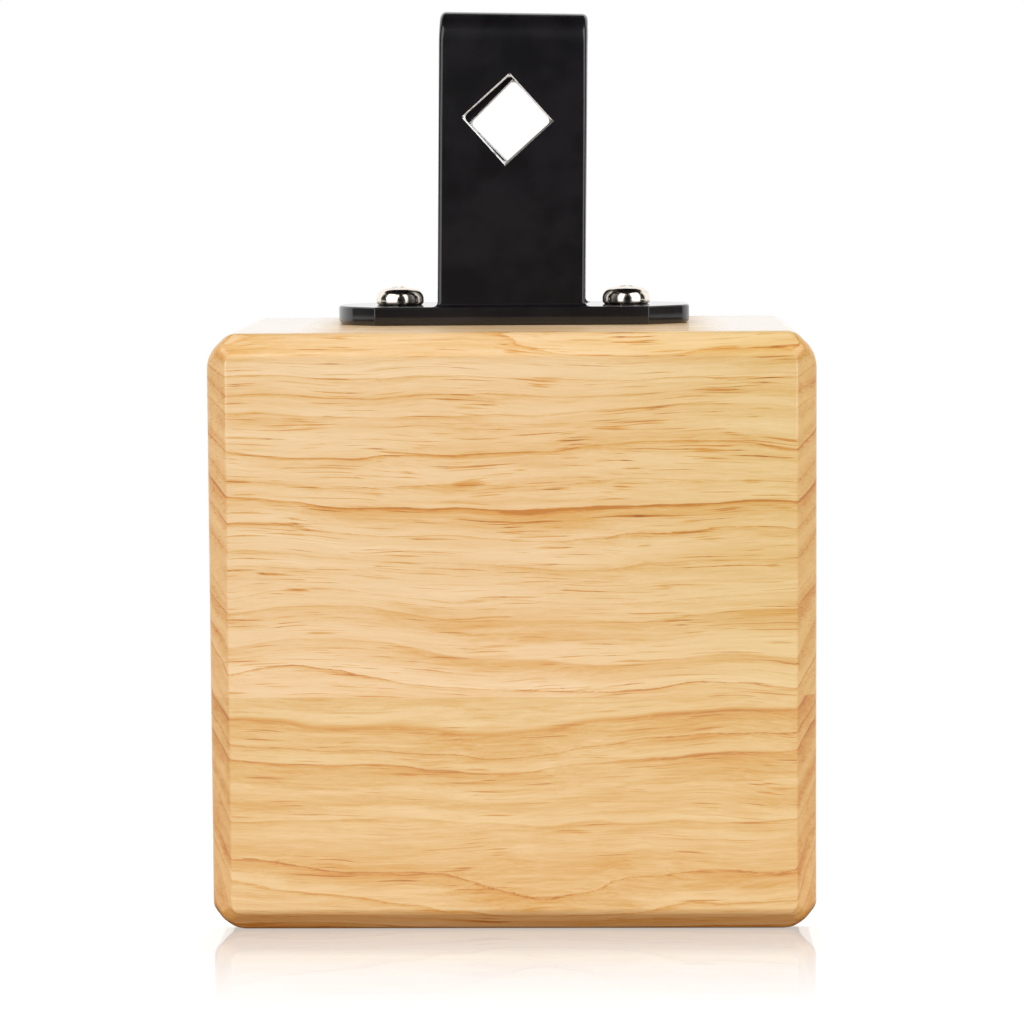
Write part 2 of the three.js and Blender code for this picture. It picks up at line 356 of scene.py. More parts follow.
class Graph:
    """The node tree of one material, written as sums of sockets."""

    def __init__(self, owner: Any, closing: str = "ShaderNodeOutputMaterial") -> None:
        """Empties the nodes of a material or world and starts them anew.

        Args:
            owner: The material or world.
            closing: Type of its last node.
        """
        owner.use_nodes = True
        self.owner = owner
        self.tree = owner.node_tree
        self.tree.nodes.clear()
        self.output = self.tree.nodes.new(closing)

    @classmethod
    def of_material(cls, name: str) -> "Graph":
        """The nodes of a new material."""
        return cls(bpy.data.materials.new(name))

    def node(self, kind: str, inputs: dict[Any, Any], **settings: Any) -> bpy.types.Node:
        """Adds a node, sets it and fills its inputs with values or sockets.

        Args:
            kind: Type of the node.
            inputs: Values or sockets by input name or number.
            settings: Settings of the node by name.

        Returns:
            The new node.
        """
        node = self.tree.nodes.new(kind)
        for name, value in settings.items():
            setattr(node, name, value)
        for name, value in inputs.items():
            if isinstance(value, Socket):
                self.tree.links.new(value, node.inputs[name])
            else:
                node.inputs[name].default_value = value
        return node

    def shader(self, kind: str, inputs: dict[Any, Any]) -> Socket:
        """First output of a new shader node with the given inputs."""
        return self.node(kind, inputs).outputs[0]

    def glow(self, colour: Any, strength: Any = 1.0) -> Socket:
        """Shader that gives off light of its own."""
        inputs = {"Color": self.opaque(colour), "Strength": strength}
        return self.shader("ShaderNodeEmission", inputs)

    def mixed(self, share: Socket, first: Socket, second: Socket) -> Socket:
        """Mix of two shaders, of which the second has the given share."""
        return self.shader("ShaderNodeMixShader", {0: share, 1: first, 2: second})

    @staticmethod
    def opaque(colour: Any) -> Any:
        """A socket as it is, or red, green and blue as a colour that hides what is behind it."""
        return colour if isinstance(colour, Socket) else (*colour, 1.0)

    def calculate(self, operation: str, *values: Any) -> Socket:
        """Result of a Math node on up to three values or sockets."""
        inputs = dict(enumerate(values))
        return self.node("ShaderNodeMath", inputs, operation=operation).outputs[0]

    def total(self, *values: Any) -> Socket:
        """Sum of several values or sockets."""
        result = values[0]
        for value in values[1:]:
            result = self.calculate("ADD", result, value)
        return result

    def times(self, first: Any, second: Any) -> Socket:
        """Product of two values or sockets."""
        return self.calculate("MULTIPLY", first, second)

    def less(self, first: Any, second: Any) -> Socket:
        """Difference of two values or sockets."""
        return self.calculate("SUBTRACT", first, second)

    def step(self, value: Socket, low: float, high: float) -> Socket:
        """Smooth rise from nought at low to one at high."""
        inputs = {"Value": value, "From Min": low, "From Max": high}
        kind = "ShaderNodeMapRange"
        return self.node(kind, inputs, interpolation_type="SMOOTHSTEP").outputs["Result"]

    def spread(
        self, value: Socket, low: float, high: float, start: float = 0.0, end: float = 1.0
    ) -> Socket:
        """Brings a value that goes from start to end to the range from low to high."""
        inputs = {"Value": value, "From Min": start, "From Max": end, "To Min": low, "To Max": high}
        return self.node("ShaderNodeMapRange", inputs).outputs["Result"]

    def vector(self, x: Any, y: Any, z: Any) -> Socket:
        """Vector of three values or sockets."""
        return self.node("ShaderNodeCombineXYZ", {0: x, 1: y, 2: z}).outputs[0]

    def parts(self, vector: Socket) -> tuple[Socket, Socket, Socket]:
        """The three parts of a vector."""
        outputs = self.node("ShaderNodeSeparateXYZ", {0: vector}).outputs
        return outputs[0], outputs[1], outputs[2]

    def scaled(self, vector: Socket, factors: Triple) -> Socket:
        """A vector whose parts are multiplied by factors."""
        inputs = {0: vector, 1: factors}
        return self.node("ShaderNodeVectorMath", inputs, operation="MULTIPLY").outputs[0]

    def noise(
        self, vector: Socket, detail: float = 1.0, roughness: float = 0.5, output: str = "Fac"
    ) -> Socket:
        """Noise at a place, from about nought to one; as Fac it is one, and as Color three."""
        inputs = {"Vector": vector, "Scale": 1.0, "Detail": detail, "Roughness": roughness}
        return self.node("ShaderNodeTexNoise", inputs).outputs[output]

    def noise_along(self, distance: Socket, detail: float = 1.0) -> Socket:
        """Noise that changes with one distance only."""
        inputs = {"W": distance, "Scale": 1.0, "Detail": detail}
        return self.node("ShaderNodeTexNoise", inputs, noise_dimensions="1D").outputs["Fac"]

    def chance(self, number: Socket) -> Socket:
        """A random share for each whole number."""
        inputs = {"W": number}
        kind = "ShaderNodeTexWhiteNoise"
        return self.node(kind, inputs, noise_dimensions="1D").outputs["Value"]

    def tint(self, share: Any, first: Any, second: Any, blend: str = "MIX") -> Socket:
        """Blend of two colours or sockets, of which the second has the given share."""
        inputs = {0: share, 6: self.opaque(first), 7: self.opaque(second)}
        kind = "ShaderNodeMix"
        return self.node(kind, inputs, data_type="RGBA", blend_type=blend).outputs[2]

    def ramp(self, share: Socket, stops: Stops) -> Socket:
        """Colour picked from stops by a share of nought to one."""
        node = self.node("ShaderNodeValToRGB", {0: share})
        elements = node.color_ramp.elements
        while len(elements) < len(stops):
            elements.new(1.0)
        for element, (position, colour) in zip(elements, stops):
            element.position = position
            element.color = self.opaque(colour)
        return node.outputs[0]

    def place(self) -> Socket:
        """Place on the piece, in metres in the frame."""
        return self.node("ShaderNodeTexCoord", {}).outputs["Object"]

    def facing(self) -> Socket:
        """Direction that the surface faces, in the frame."""
        return self.node("ShaderNodeTexCoord", {}).outputs["Normal"]

    def bump(self, height: Socket, distance: float) -> Socket:
        """Normal that is tilted by a height."""
        inputs = {"Height": height, "Distance": distance, "Strength": 1.0}
        return self.node("ShaderNodeBump", inputs).outputs[0]

    def finish(self, inputs: dict[str, Any]) -> bpy.types.Material:
        """Closes the tree with the main shader, given its inputs, and returns the material."""
        self.close(self.shader("ShaderNodeBsdfPrincipled", inputs))
        return self.owner

    def close(self, shader: Socket) -> None:
        """Links a shader to the last node."""
        self.tree.links.new(shader, self.output.inputs["Surface"])


@dataclass(frozen=True)
class Place:
    """Place on a piece: sockets with millimetres along three directions.

    On wood these run along the fibres, into the board and across it. On metal they are x, y and z.
    """

    along: Socket
    into: Socket
    across: Socket

    @classmethod
    def of_frame(cls, graph: Graph) -> "Place":
        """Place along the frame's own directions."""
        return cls(*graph.parts(graph.scaled(graph.place(), (MILLIMETRES,) * 3)))

    def cells(self, graph: Graph, size: Triple) -> Socket:
        """Place counted in cells of the given sizes."""
        parts = (self.along, self.into, self.across)
        return graph.vector(*(graph.times(part, 1 / length) for part, length in zip(parts, size)))


@dataclass(frozen=True)
class Noise:
    """Noise in cells of the given sizes in millimetres, with its detail and its roughness."""

    size: Triple
    detail: float = 1.0
    roughness: float = 0.5

    def over(self, graph: Graph, place: Place) -> Socket:
        """The noise at a place, from about nought to one."""
        return graph.noise(place.cells(graph, self.size), self.detail, self.roughness)

    def swing(self, graph: Graph, place: Place) -> Socket:
        """The noise at a place, as a swing about nought."""
        return graph.less(self.over(graph, place), MEAN_NOISE)


@dataclass(frozen=True)
class Lacquer:
    """Clear glossy coat on the wood, which is dulled on top, round the foot of the bracket.

    Its weight and its roughness are given where it is sound and where it is dulled.
    """

    weight: Range = (1.0, 0.27)
    roughness: Range = (0.06, 0.3)
    base_roughness: float = 0.55
    rubbed_half: Range = (0.045, 0.028)
    rubbed_rise: Range = (0.7, 0.95)

    def inputs(self, graph: Graph) -> dict[str, Any]:
        """The inputs that the coat gives to the main shader."""
        sideways, _depth, _height = graph.parts(graph.place())
        _right, _back, upward = graph.parts(graph.facing())
        close = graph.step(graph.calculate("ABSOLUTE", sideways), *self.rubbed_half)
        soft_sheen = graph.times(close, graph.step(upward, *self.rubbed_rise))
        return {
            "Roughness": self.base_roughness,
            "Coat Weight": graph.spread(soft_sheen, *self.weight),
            "Coat Roughness": graph.spread(soft_sheen, *self.roughness),
        }


@dataclass(frozen=True)
class WoodFinish:
    """Pale lacquered hardwood with orange growth lines and short brown pores.

    It is one solid block of grain. The growth lines are cylinders round a pith that runs with the
    fibres. Lengths are in millimetres, in the grain's own directions: along the fibres, into the
    board and across it. A tone runs from nought, the palest wood, to one, the darkest. A shade that
    has two values holds the one along the fibres and the one on end grain.
    """

    name: str
    grain: Grain = Grain.SIDEWAYS
    pith: Range = (68.0, -10.0)
    shift: Triple = (0.0, 0.0, 0.0)
    tone: float = 0.26
    waves: tuple[tuple[Triple, float], ...] = (((60.0, 45.0, 30.0), 8.0), ((15.0, 9.0, 5.0), 1.2))
    fibres: Noise = Noise((44.0, 2.0, 2.0), 5.0, 0.9)
    fibre_shade: float = 1.15
    patches: Noise = Noise((40.0, 12.0, 7.0))
    patch_shade: float = 0.45
    ring_spacing: float = 3.4
    ring_fray: float = 0.8
    ring_drift: float = 2.4
    ring_drift_length: float = 7.0
    ring_strength: Range = (0.35, 0.85)
    ring_fade: Noise = Noise((45.0, 20.0, 6.0))
    ring_fade_strength: Range = (0.2, 1.6)
    ring_powers: tuple[Range, ...] = ((3.0, 0.38), (22.0, 1.2))
    ring_edge: float = 0.97
    ring_shade: Range = (0.82, 1.15)
    band_length: float = 3.1
    band_detail: float = 2.0
    band_shade: Range = (0.58, 1.1)
    pores: Noise = Noise((15.0, 0.8, 0.31), 1.0, 0.35)
    pore_crowds: Noise = Noise((18.0, 6.0, 4.0))
    crowd_lift: float = 0.3
    pore_rise: Range = (0.6, 0.74)
    pore_shade: Range = (0.5, 0.22)
    core_places: Noise = Noise((4.0, 3.0, 3.0))
    core_place_rise: Range = (0.55, 0.68)
    core_width: float = 0.07
    core_shade: Range = (0.7, 0.12)
    core: Colour = (0.36, 0.1, 0.014)
    tones: Stops = (
        (0.0, (0.905, 0.665, 0.407)),
        (0.22, (0.863, 0.604, 0.337)),
        (0.42, (0.815, 0.527, 0.251)),
        (0.62, (0.755, 0.43, 0.142)),
        (0.8, (0.72, 0.34, 0.084)),
        (1.0, (0.58, 0.225, 0.04)),
    )
    amber: Colour = (0.93, 0.94, 0.78)
    ambering: Range = (0.15, 1.0)
    ambering_reach: Range = (5.0, 47.0)
    end: Colour = (0.95, 0.8, 0.54)
    end_rise: Range = (0.1, 0.75)
    fibre_relief: float = 0.5
    relief: float = 0.000008
    lacquer: Lacquer = Lacquer()

    def material(self) -> bpy.types.Material:
        """The finish as a material."""
        graph = Graph.of_material(self.name)
        place = self._waved(graph)
        fibre = self.fibres.swing(graph, place)
        patches = self.patches.swing(graph, place)
        rings, bands = self._rings(graph, place, fibre)
        pores, cores = self._pores(graph, place)
        cut = self._cut_across(graph)
        marks = ((bands, self.band_shade), (rings, self.ring_shade), (pores, self.pore_shade))
        tone = graph.total(
            self.tone,
            graph.times(fibre, self.fibre_shade),
            graph.times(patches, self.patch_shade),
            *(graph.times(mark, graph.spread(cut, *shade)) for mark, shade in marks),
        )
        cores = graph.times(cores, graph.spread(cut, *self.core_shade))
        colour = graph.tint(cores, graph.ramp(tone, self.tones), self.core)
        start, end = (self.shift[0] + reach for reach in self.ambering_reach)
        ambering = graph.spread(place.along, *self.ambering, start, end)
        colour = graph.tint(ambering, colour, self.amber, "MULTIPLY")
        height = graph.less(graph.times(fibre, self.fibre_relief), pores)
        return graph.finish(
            {
                "Base Color": graph.tint(cut, colour, self.end, "MULTIPLY"),
                "Normal": graph.bump(height, self.relief),
                **self.lacquer.inputs(graph),
            }
        )

    def _waved(self, graph: Graph) -> Place:
        """Place in the grain, bent by the slow and the quick waves of the fibres."""
        turn = (0.0, QUARTER_TURN if self.grain is Grain.UPRIGHT else 0.0, 0.0)
        scale = (MILLIMETRES,) * 3
        inputs = {"Vector": graph.place(), "Location": self.shift, "Rotation": turn, "Scale": scale}
        straight = Place(*graph.parts(graph.node("ShaderNodeMapping", inputs).outputs[0]))
        into, across = straight.into, straight.across
        for size, swing in self.waves:
            bends = graph.parts(graph.noise(straight.cells(graph, size), output="Color"))
            into = graph.total(into, graph.times(graph.less(bends[0], MEAN_NOISE), swing))
            across = graph.total(across, graph.times(graph.less(bends[1], MEAN_NOISE), swing))
        return Place(straight.along, into, across)

    def _rings(self, graph: Graph, place: Place, fibre: Socket) -> tuple[Socket, Socket]:
        """Growth rings, which darken outwards and stop at a thin line.

        Args:
            graph: The material's nodes.
            place: Place in the grain.
            fibre: Tone of the fibres, which frays the lines.

        Returns:
            The lines' shade, and the broad swing of tone from ring to ring.
        """
        depth = graph.less(place.into, self.pith[0])
        width = graph.less(place.across, self.pith[1])
        squares = graph.total(graph.times(depth, depth), graph.times(width, width))
        radius = graph.total(graph.calculate("SQRT", squares), graph.times(fibre, self.ring_fray))
        drift = graph.noise_along(graph.times(radius, 1 / self.ring_drift_length))
        count = graph.total(
            graph.times(radius, 1 / self.ring_spacing), graph.times(drift, self.ring_drift)
        )
        within = graph.calculate("FRACT", count)
        chance = graph.chance(graph.calculate("FLOOR", count))
        least, more = self.ring_strength
        strength = graph.total(graph.times(graph.times(chance, chance), more), least)
        least, more = self.ring_fade_strength
        fade = graph.total(graph.times(self.ring_fade.over(graph, place), more), least)
        darkening = [
            graph.times(graph.calculate("POWER", within, power), share)
            for power, share in self.ring_powers
        ]
        line = graph.times(graph.total(*darkening), graph.step(within, 1.0, self.ring_edge))
        bands = graph.noise_along(graph.times(radius, 1 / self.band_length), self.band_detail)
        return graph.times(line, graph.times(strength, fade)), graph.less(bands, MEAN_NOISE)

    def _pores(self, graph: Graph, place: Place) -> tuple[Socket, Socket]:
        """Open pores: short slender streaks, of which a few have a dark core.

        Args:
            graph: The material's nodes.
            place: Place in the grain.

        Returns:
            The pores and the dark cores.
        """
        crowd = graph.times(self.pore_crowds.swing(graph, place), self.crowd_lift)
        lift = graph.total(self.pores.over(graph, place), crowd)
        rare = graph.step(self.core_places.over(graph, place), *self.core_place_rise)
        full = self.pore_rise[1]
        cores = graph.times(graph.step(lift, full - self.core_width, full), rare)
        return graph.step(lift, *self.pore_rise), cores

    def _cut_across(self, graph: Graph) -> Socket:
        """One where the surface cuts the fibres across, and nought where it runs with them."""
        sideways, _depth, upright = graph.parts(graph.facing())
        across = upright if self.grain is Grain.UPRIGHT else sideways
        return graph.step(graph.calculate("ABSOLUTE", across), *self.end_rise)


@dataclass(frozen=True)
class BlackCoat:
    """Glossy black coat, baked on to steel, faintly cloudy and dusty."""

    name: str = "black_coat"
    colour: Colour = (0.0045, 0.0038, 0.005)
    cloudy: Colour = (0.0085, 0.0072, 0.009)
    clouds: Noise = Noise((9.0, 9.0, 9.0), 3.0)
    cloud_rise: Range = (0.4, 0.65)
    dusty: Colour = (0.08, 0.08, 0.085)
    dust: Noise = Noise((0.35, 0.35, 0.35))
    dust_rise: Range = (0.74, 0.8)
    dust_share: float = 0.25
    roughness: Range = (0.3, 0.42)
    shine: float = 0.2
    gloss: float = 1.0
    gloss_roughness: float = 0.06
    peel: Noise = Noise((0.9, 0.9, 0.9), 2.0)
    peel_depth: float = 0.000001

    def material(self) -> bpy.types.Material:
        """The finish as a material."""
        graph = Graph.of_material(self.name)
        place = Place.of_frame(graph)
        cloud = self.clouds.over(graph, place)
        colour = graph.tint(graph.step(cloud, *self.cloud_rise), self.colour, self.cloudy)
        specks = graph.step(self.dust.over(graph, place), *self.dust_rise)
        return graph.finish(
            {
                "Base Color": graph.tint(graph.times(specks, self.dust_share), colour, self.dusty),
                "Roughness": graph.spread(cloud, *self.roughness),
                "Specular IOR Level": self.shine,
                "Normal": graph.bump(self.peel.over(graph, place), self.peel_depth),
                "Coat Weight": self.gloss,
                "Coat Roughness": self.gloss_roughness,
            }
        )


@dataclass(frozen=True)
class HighlightSteel:
    """Bright steel on a sharp rim, painted there as a highlight for the light that the rounded rim
    catches.
    """

    name: str = "rim_highlight_steel"
    colour: Colour = (0.93, 0.93, 0.92)
    roughness: Range = (0.35, 0.55)
    sheen: float = 0.35
    dull: Colour = (0.3, 0.29, 0.28)
    clouds: Noise = Noise((1.4, 1.4, 1.4), 3.0)
    cloud_rise: Range = (0.25, 0.45)

    def material(self) -> bpy.types.Material:
        """The finish as a material."""
        graph = Graph.of_material(self.name)
        cloud = self.clouds.over(graph, Place.of_frame(graph))
        clear = graph.step(cloud, *self.cloud_rise)
        return graph.finish(
            {
                "Base Color": graph.tint(clear, self.dull, self.colour),
                "Metallic": self.sheen,
                "Roughness": graph.spread(cloud, *self.roughness),
            }
        )


@dataclass(frozen=True)
class NickelPlate:
    """Bright nickel with fine turning marks and a few rubbed spots."""

    name: str = "nickel"
    colour: Colour = (0.97, 0.88, 0.77)
    stained: Colour = (0.5, 0.42, 0.34)
    clouds: Noise = Noise((1.2, 1.2, 0.8), 3.0)
    cloud_rise: Range = (0.55, 0.75)
    stain_share: float = 0.4
    roughness: Range = (0.1, 0.22)
    marks: Noise = Noise((0.8, 0.8, 0.08), 2.0)
    mark_share: float = 0.6
    relief: float = 0.000012

    def material(self) -> bpy.types.Material:
        """The finish as a material."""
        graph = Graph.of_material(self.name)
        place = Place.of_frame(graph)
        cloud = self.clouds.over(graph, place)
        stain = graph.times(graph.step(cloud, *self.cloud_rise), self.stain_share)
        marks = graph.times(self.marks.over(graph, place), self.mark_share)
        return graph.finish(
            {
                "Base Color": graph.tint(stain, self.colour, self.stained),
                "Metallic": 1.0,
                "Roughness": graph.spread(cloud, *self.roughness),
                "Normal": graph.bump(graph.total(marks, cloud), self.relief),
            }
        )


@dataclass(frozen=True)
class BlackOxide:
    """Oiled black oxide on steel, with brighter steel where it is worn."""

    name: str = "black_oxide"
    colour: Colour = (0.028, 0.028, 0.031)
    worn: Colour = (0.2, 0.19, 0.185)
    clouds: Noise = Noise((1.6, 1.6, 1.6), 4.0)
    cloud_rise: Range = (0.56, 0.78)
    roughness: Range = (0.3, 0.5)
    sheen: float = 0.85
    relief: float = 0.00002

    def material(self) -> bpy.types.Material:
        """The finish as a material."""
        graph = Graph.of_material(self.name)
        cloud = self.clouds.over(graph, Place.of_frame(graph))
        wear = graph.step(cloud, *self.cloud_rise)
        return graph.finish(
            {
                "Base Color": graph.tint(wear, self.colour, self.worn),
                "Metallic": self.sheen,
                "Roughness": graph.spread(cloud, *self.roughness),
                "Normal": graph.bump(cloud, self.relief),
            }
        )


def fit(piece: Piece, body: Body, slot: str, *nodes: str) -> Piece:
    """Puts a finished piece on its body, in place of its solids, which it hides."""
    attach(piece, body.value)
    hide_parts(*nodes)
    return piece


@dataclass(frozen=True)
class Board:
    """One board: the solid it stands for, its own name, its slot and its finish."""

    node: str
    name: str
    slot: str
    finish: WoodFinish


STRUCK_LOWER_WOOD = WoodFinish(
    "struck_lower_wood",
    pith=(58.0, -25.0),
    shift=(210.0, 0.0, 0.0),
    tone=0.36,
    ambering=(0.85, 1.0),
    ring_shade=(0.92, 1.15),
    band_shade=(0.6, 1.1),
    fibre_shade=1.45,
    pore_rise=(0.63, 0.85),
    pore_shade=(0.7, 0.22),
)
STRUCK_UPPER_WOOD = WoodFinish("struck_upper_wood")
# Painted light: the top board is set paler and without amber, so that the top reads lighter, as the
# strong light from above makes it.
BRACKET_END_WOOD = WoodFinish(
    "bracket_end_wood", pith=(20.0, 30.0), shift=(1080.0, 0.0, 0.0), tone=0.12, ambering=(0.0, 0.2)
)
BACK_UPPER_WOOD = WoodFinish("back_upper_wood", pith=(-70.0, 40.0), shift=(420.0, 0.0, 0.0))
BACK_LOWER_WOOD = WoodFinish("back_lower_wood", pith=(-60.0, 10.0), shift=(640.0, 0.0, 0.0))
LEFT_WALL_WOOD = WoodFinish("left_wall_wood", Grain.UPRIGHT, pith=(30.0, 90.0))
RIGHT_WALL_WOOD = WoodFinish("right_wall_wood", Grain.UPRIGHT, pith=(-40.0, -80.0))
MOUTH_END_WOOD = WoodFinish("mouth_end_wood", pith=(10.0, -60.0), shift=(860.0, 0.0, 0.0))


@dataclass
class Box:
    """The hollow wooden box: eight boards sawn from one softened envelope.

    Where radii come in pairs, the first one is for the lower half and the second for the upper.
    """

    chamfer: float = 0.004
    corner_chamfer: float = 0.0043
    face_radius: float = 0.0009
    end_radius: float = 0.002
    side_radius: float = 0.002
    corner_end_radii: Range = (0.0055, 0.0035)
    corner_side_radii: Range = (0.003, 0.0065)
    corner_radius: float = 0.003
    segments: int = 5
    boards: tuple[Board, ...] = (
        Board("striking_board_upper", "struck_stave_upper", "upper_stave_wood", STRUCK_UPPER_WOOD),
        Board("striking_board_lower", "struck_stave_lower", "lower_stave_wood", STRUCK_LOWER_WOOD),
        Board("back_board_upper", "back_stave_upper", "upper_stave_wood", BACK_UPPER_WOOD),
        Board("back_board_lower", "back_stave_lower", "lower_stave_wood", BACK_LOWER_WOOD),
        Board("left_wall", "side_board_left", "wall_wood", LEFT_WALL_WOOD),
        Board("right_wall", "side_board_right", "wall_wood", RIGHT_WALL_WOOD),
        Board("mouth_end_wall", "mouth_end_board", "wall_wood", MOUTH_END_WOOD),
        Board("bracket_end_wall", "bracket_end_board", "wall_wood", BRACKET_END_WOOD),
    )

    def __post_init__(self) -> None:
        """Reads the outer corners of the box from the frame."""
        corners = [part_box(board.node) for board in self.boards]
        self.low = Vector(min(low[axis] for low, _high in corners) for axis in range(3))
        self.high = Vector(max(high[axis] for _low, high in corners) for axis in range(3))

    def build(self) -> list[Piece]:
        """Saws and dresses the eight boards and returns them."""
        envelope = self._envelope()
        pieces = [self._board(envelope, board) for board in self.boards]
        discard(envelope)
        return pieces

    def _envelope(self) -> Piece:
        """The whole outside of the box, chamfered on all twelve edges and softened."""
        piece = start_box("box_envelope", self.low, self.high)
        corner = {-1: self.low, 1: self.high}
        with Editing(piece) as edit:
            for first, second in ((0, 1), (0, 2), (1, 2)):
                depth = self.corner_chamfer if (first, second) == (0, 2) else self.chamfer
                for sign, other in ((-1, -1), (-1, 1), (1, -1), (1, 1)):
                    point = AXES[first] * corner[sign][first] + AXES[second] * corner[other][second]
                    inward = AXES[second] * other * depth
                    edit.saw(point - inward, AXES[first] * sign + AXES[second] * other)
        most = max(
            self._run(self.corner_radius, SIXTH_TURN),
            self._run(max(self.corner_side_radii), EIGHTH_TURN),
        )
        weigh_edges(piece, self._softening, most)
        soften(piece, most, self.segments)
        return piece

    @staticmethod
    def _run(radius: float, turn: float) -> float:
        """Distance from a crease that turns by an angle to the start of its rounding."""
        return radius * math.tan(turn / 2)

    def _softening(self, middle: Vector, along: Vector, _edge: Any) -> float:
        """Width of the rounding of one crease of the envelope."""
        on_side, on_face, on_end = (
            near(middle[axis], self.low[axis]) or near(middle[axis], self.high[axis])
            for axis in range(3)
        )
        upper = middle.z > (self.low.z + self.high.z) / 2
        if on_face:
            radius = self.face_radius if abs(along.z) > abs(along.x) else self.end_radius
        elif on_side:
            level = abs(along.z) <= abs(along.y)
            radius = self.corner_side_radii[upper] if level else self.side_radius
        elif on_end:
            level = abs(along.x) > abs(along.y)
            radius = self.end_radius if level else self.corner_end_radii[upper]
        else:
            return self._run(self.corner_radius, SIXTH_TURN)
        return self._run(radius, EIGHTH_TURN)

    def _board(self, envelope: Piece, board: Board) -> Piece:
        """One dressed board, sawn from a copy of the envelope."""
        low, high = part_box(board.node)
        piece = copy_of(envelope, board.name)
        with Editing(piece) as edit:
            for axis, direction in enumerate(AXES):
                if low[axis] > self.low[axis] + TINY:
                    edit.saw(low, -direction)
                if high[axis] < self.high[axis] - TINY:
                    edit.saw(high, direction)
        smooth(piece)
        dress(piece, board.finish.material())
        return fit(piece, Body.BLOCK, board.slot, board.node)


@dataclass
class Bracket:
    """The steel bracket: a flat foot and a bent strap with two square rod holes.

    A rod hole is given by its sideways shift, its height over the foot and its turn. A margin is
    how far a leg's flange stands out past the leg. The first end radius is the foot's left one.
    """

    sheet: float = 0.0032
    corner_cut: float = 0.0085
    crease_radius: float = 0.0004
    end_radii: Range = (0.013, 0.006)
    left_trim: float = 0.00035
    top_rim: float = 0.0005
    bottom_rim: float = 0.0009
    strap_width: float = 0.03022
    strap_left: float = 0.0002
    strap_bend: float = 0.006
    strap_lean: float = math.radians(0.7)
    crown_drop: float = math.radians(1.2)
    strap_rim: float = 0.0004
    crown_rim: float = 0.0012
    weld_setback: float = 0.0018
    fillet: float = 0.0007
    side_fillet: float = 0.0009
    fillet_margin: float = 0.0008
    side_margin: float = 0.001
    flange: float = 0.00002
    rod_hole: float = 0.0127
    hole_corner: float = 0.0010
    hole_rim: float = 0.0004
    hole_flare: float = 0.0014
    hole_allowance: float = 1.03
    rim_area: float = 0.00001
    rim_facing: Range = (0.05, 0.95)
    front_hole: Triple = (-0.0006, 0.0382, math.radians(3))
    rear_hole: Triple = (0.0001, 0.0375, 0.0)
    crown_hole_radius: float = 0.0043
    screw_hole_radius: float = 0.00275
    bend_steps: int = 14
    corner_segments: int = 6
    rim_segments: int = 5
    round_sides: int = 64
    coat: BlackCoat = BlackCoat()
    # Painted highlight: bright steel on the rims of the rod holes, standing in for the light that
    # their rounding catches.
    rim_highlight: HighlightSteel = HighlightSteel()
    # Painted soft highlight: grey steel on the flare beside the front hole, where its rounding
    # would catch the light.
    soft_sheen: HighlightSteel = HighlightSteel("flare_highlight_steel", (0.42, 0.39, 0.36), (0.25, 0.35), 1.0)

    def build(self) -> list[Piece]:
        """Builds and dresses the bracket's pieces and returns them."""
        coat = self.coat.material()
        pieces = [self._plate(), self._strap()]
        for piece, node in zip(pieces, ("mounting_plate", "rod_strap")):
            dress(piece, coat)
            fit(piece, Body.BLOCK, "black_coat", node)
        self._paint_rim_highlights(pieces[1], self.rim_highlight.material(), self.soft_sheen.material())
        return pieces

    def _paint_rim_highlights(
        self, strap: Piece, rim_highlight: bpy.types.Material, soft_sheen: bpy.types.Material
    ) -> None:
        """Gives the rims of the rod holes bright steel: painted highlights, for the light that
        their rounding catches.

        Args:
            strap: The finished strap.
            rim_highlight: Bright steel of the rims, a painted highlight.
            soft_sheen: Darker steel of the flare beside the front hole, a painted soft highlight.
        """
        low, _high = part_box("rod_strap")
        middle = self._strap_middle(low)
        centres = [
            Vector((middle + hole[0], 0, low.z + hole[1]))
            for hole in (self.front_hole, self.rear_hole)
        ]
        reach = self.rod_hole / math.sqrt(2) + 2 * self.hole_rim
        least, most = self.rim_facing

        def on_rim(face: bmesh.types.BMFace) -> bool:
            """Whether a face is a part of a rounded rim."""
            place = flat_place(face.calc_center_median())
            inside = any((place - centre).length < reach for centre in centres)
            slanted = least < abs(face.normal.y) < most
            return inside and slanted and face.calc_area() < self.rim_area

        def on_flare(face: bmesh.types.BMFace) -> bool:
            """Whether a face is a part of the flare that gets the painted soft highlight."""
            place = face.calc_center_median()
            apart = flat_place(place) - centres[0]
            in_front = place.y < low.y + self.weld_setback + self.hole_flare
            return on_rim(face) and in_front and apart.x > 0 > apart.z

        for index, (chosen, steel) in enumerate(((on_rim, rim_highlight), (on_flare, soft_sheen)), 1):
            strap.data.materials.append(steel)
            with Editing(strap) as edit:
                edit.pick(Element.FACE, chosen)
                strap.active_material_index = index
                bpy.ops.object.material_slot_assign()

    def _plate(self) -> Piece:
        """Flat foot with cut corners, rounded edges and two screw holes."""
        low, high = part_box("mounting_plate")
        low = low + Vector((self.left_trim, 0, 0))
        plate = start_box("bracket_plate", low, high)
        with Editing(plate) as edit:
            for side, x, cut in (
                (-1, low.x, self.corner_cut - self.left_trim),
                (1, high.x, self.corner_cut),
            ):
                for end, y in ((-1, low.y), (1, high.y)):
                    corner = Vector((x, y, 0))
                    edit.saw(corner - Vector((side * cut, 0, 0)), Vector((side, end, 0)))
        run_share = math.tan(EIGHTH_TURN / 2)
        end_run = max(self.end_radii) * run_share

        def width(middle: Vector, along: Vector, _edge: Any) -> float:
            """Width of the rounding of one upright edge, and nought for the others."""
            if abs(along.z) < MOSTLY:
                return 0.0
            front = near(middle.y, low.y) or near(middle.y, high.y)
            return run_share * (self.crease_radius if front else self.end_radii[middle.x > 0])

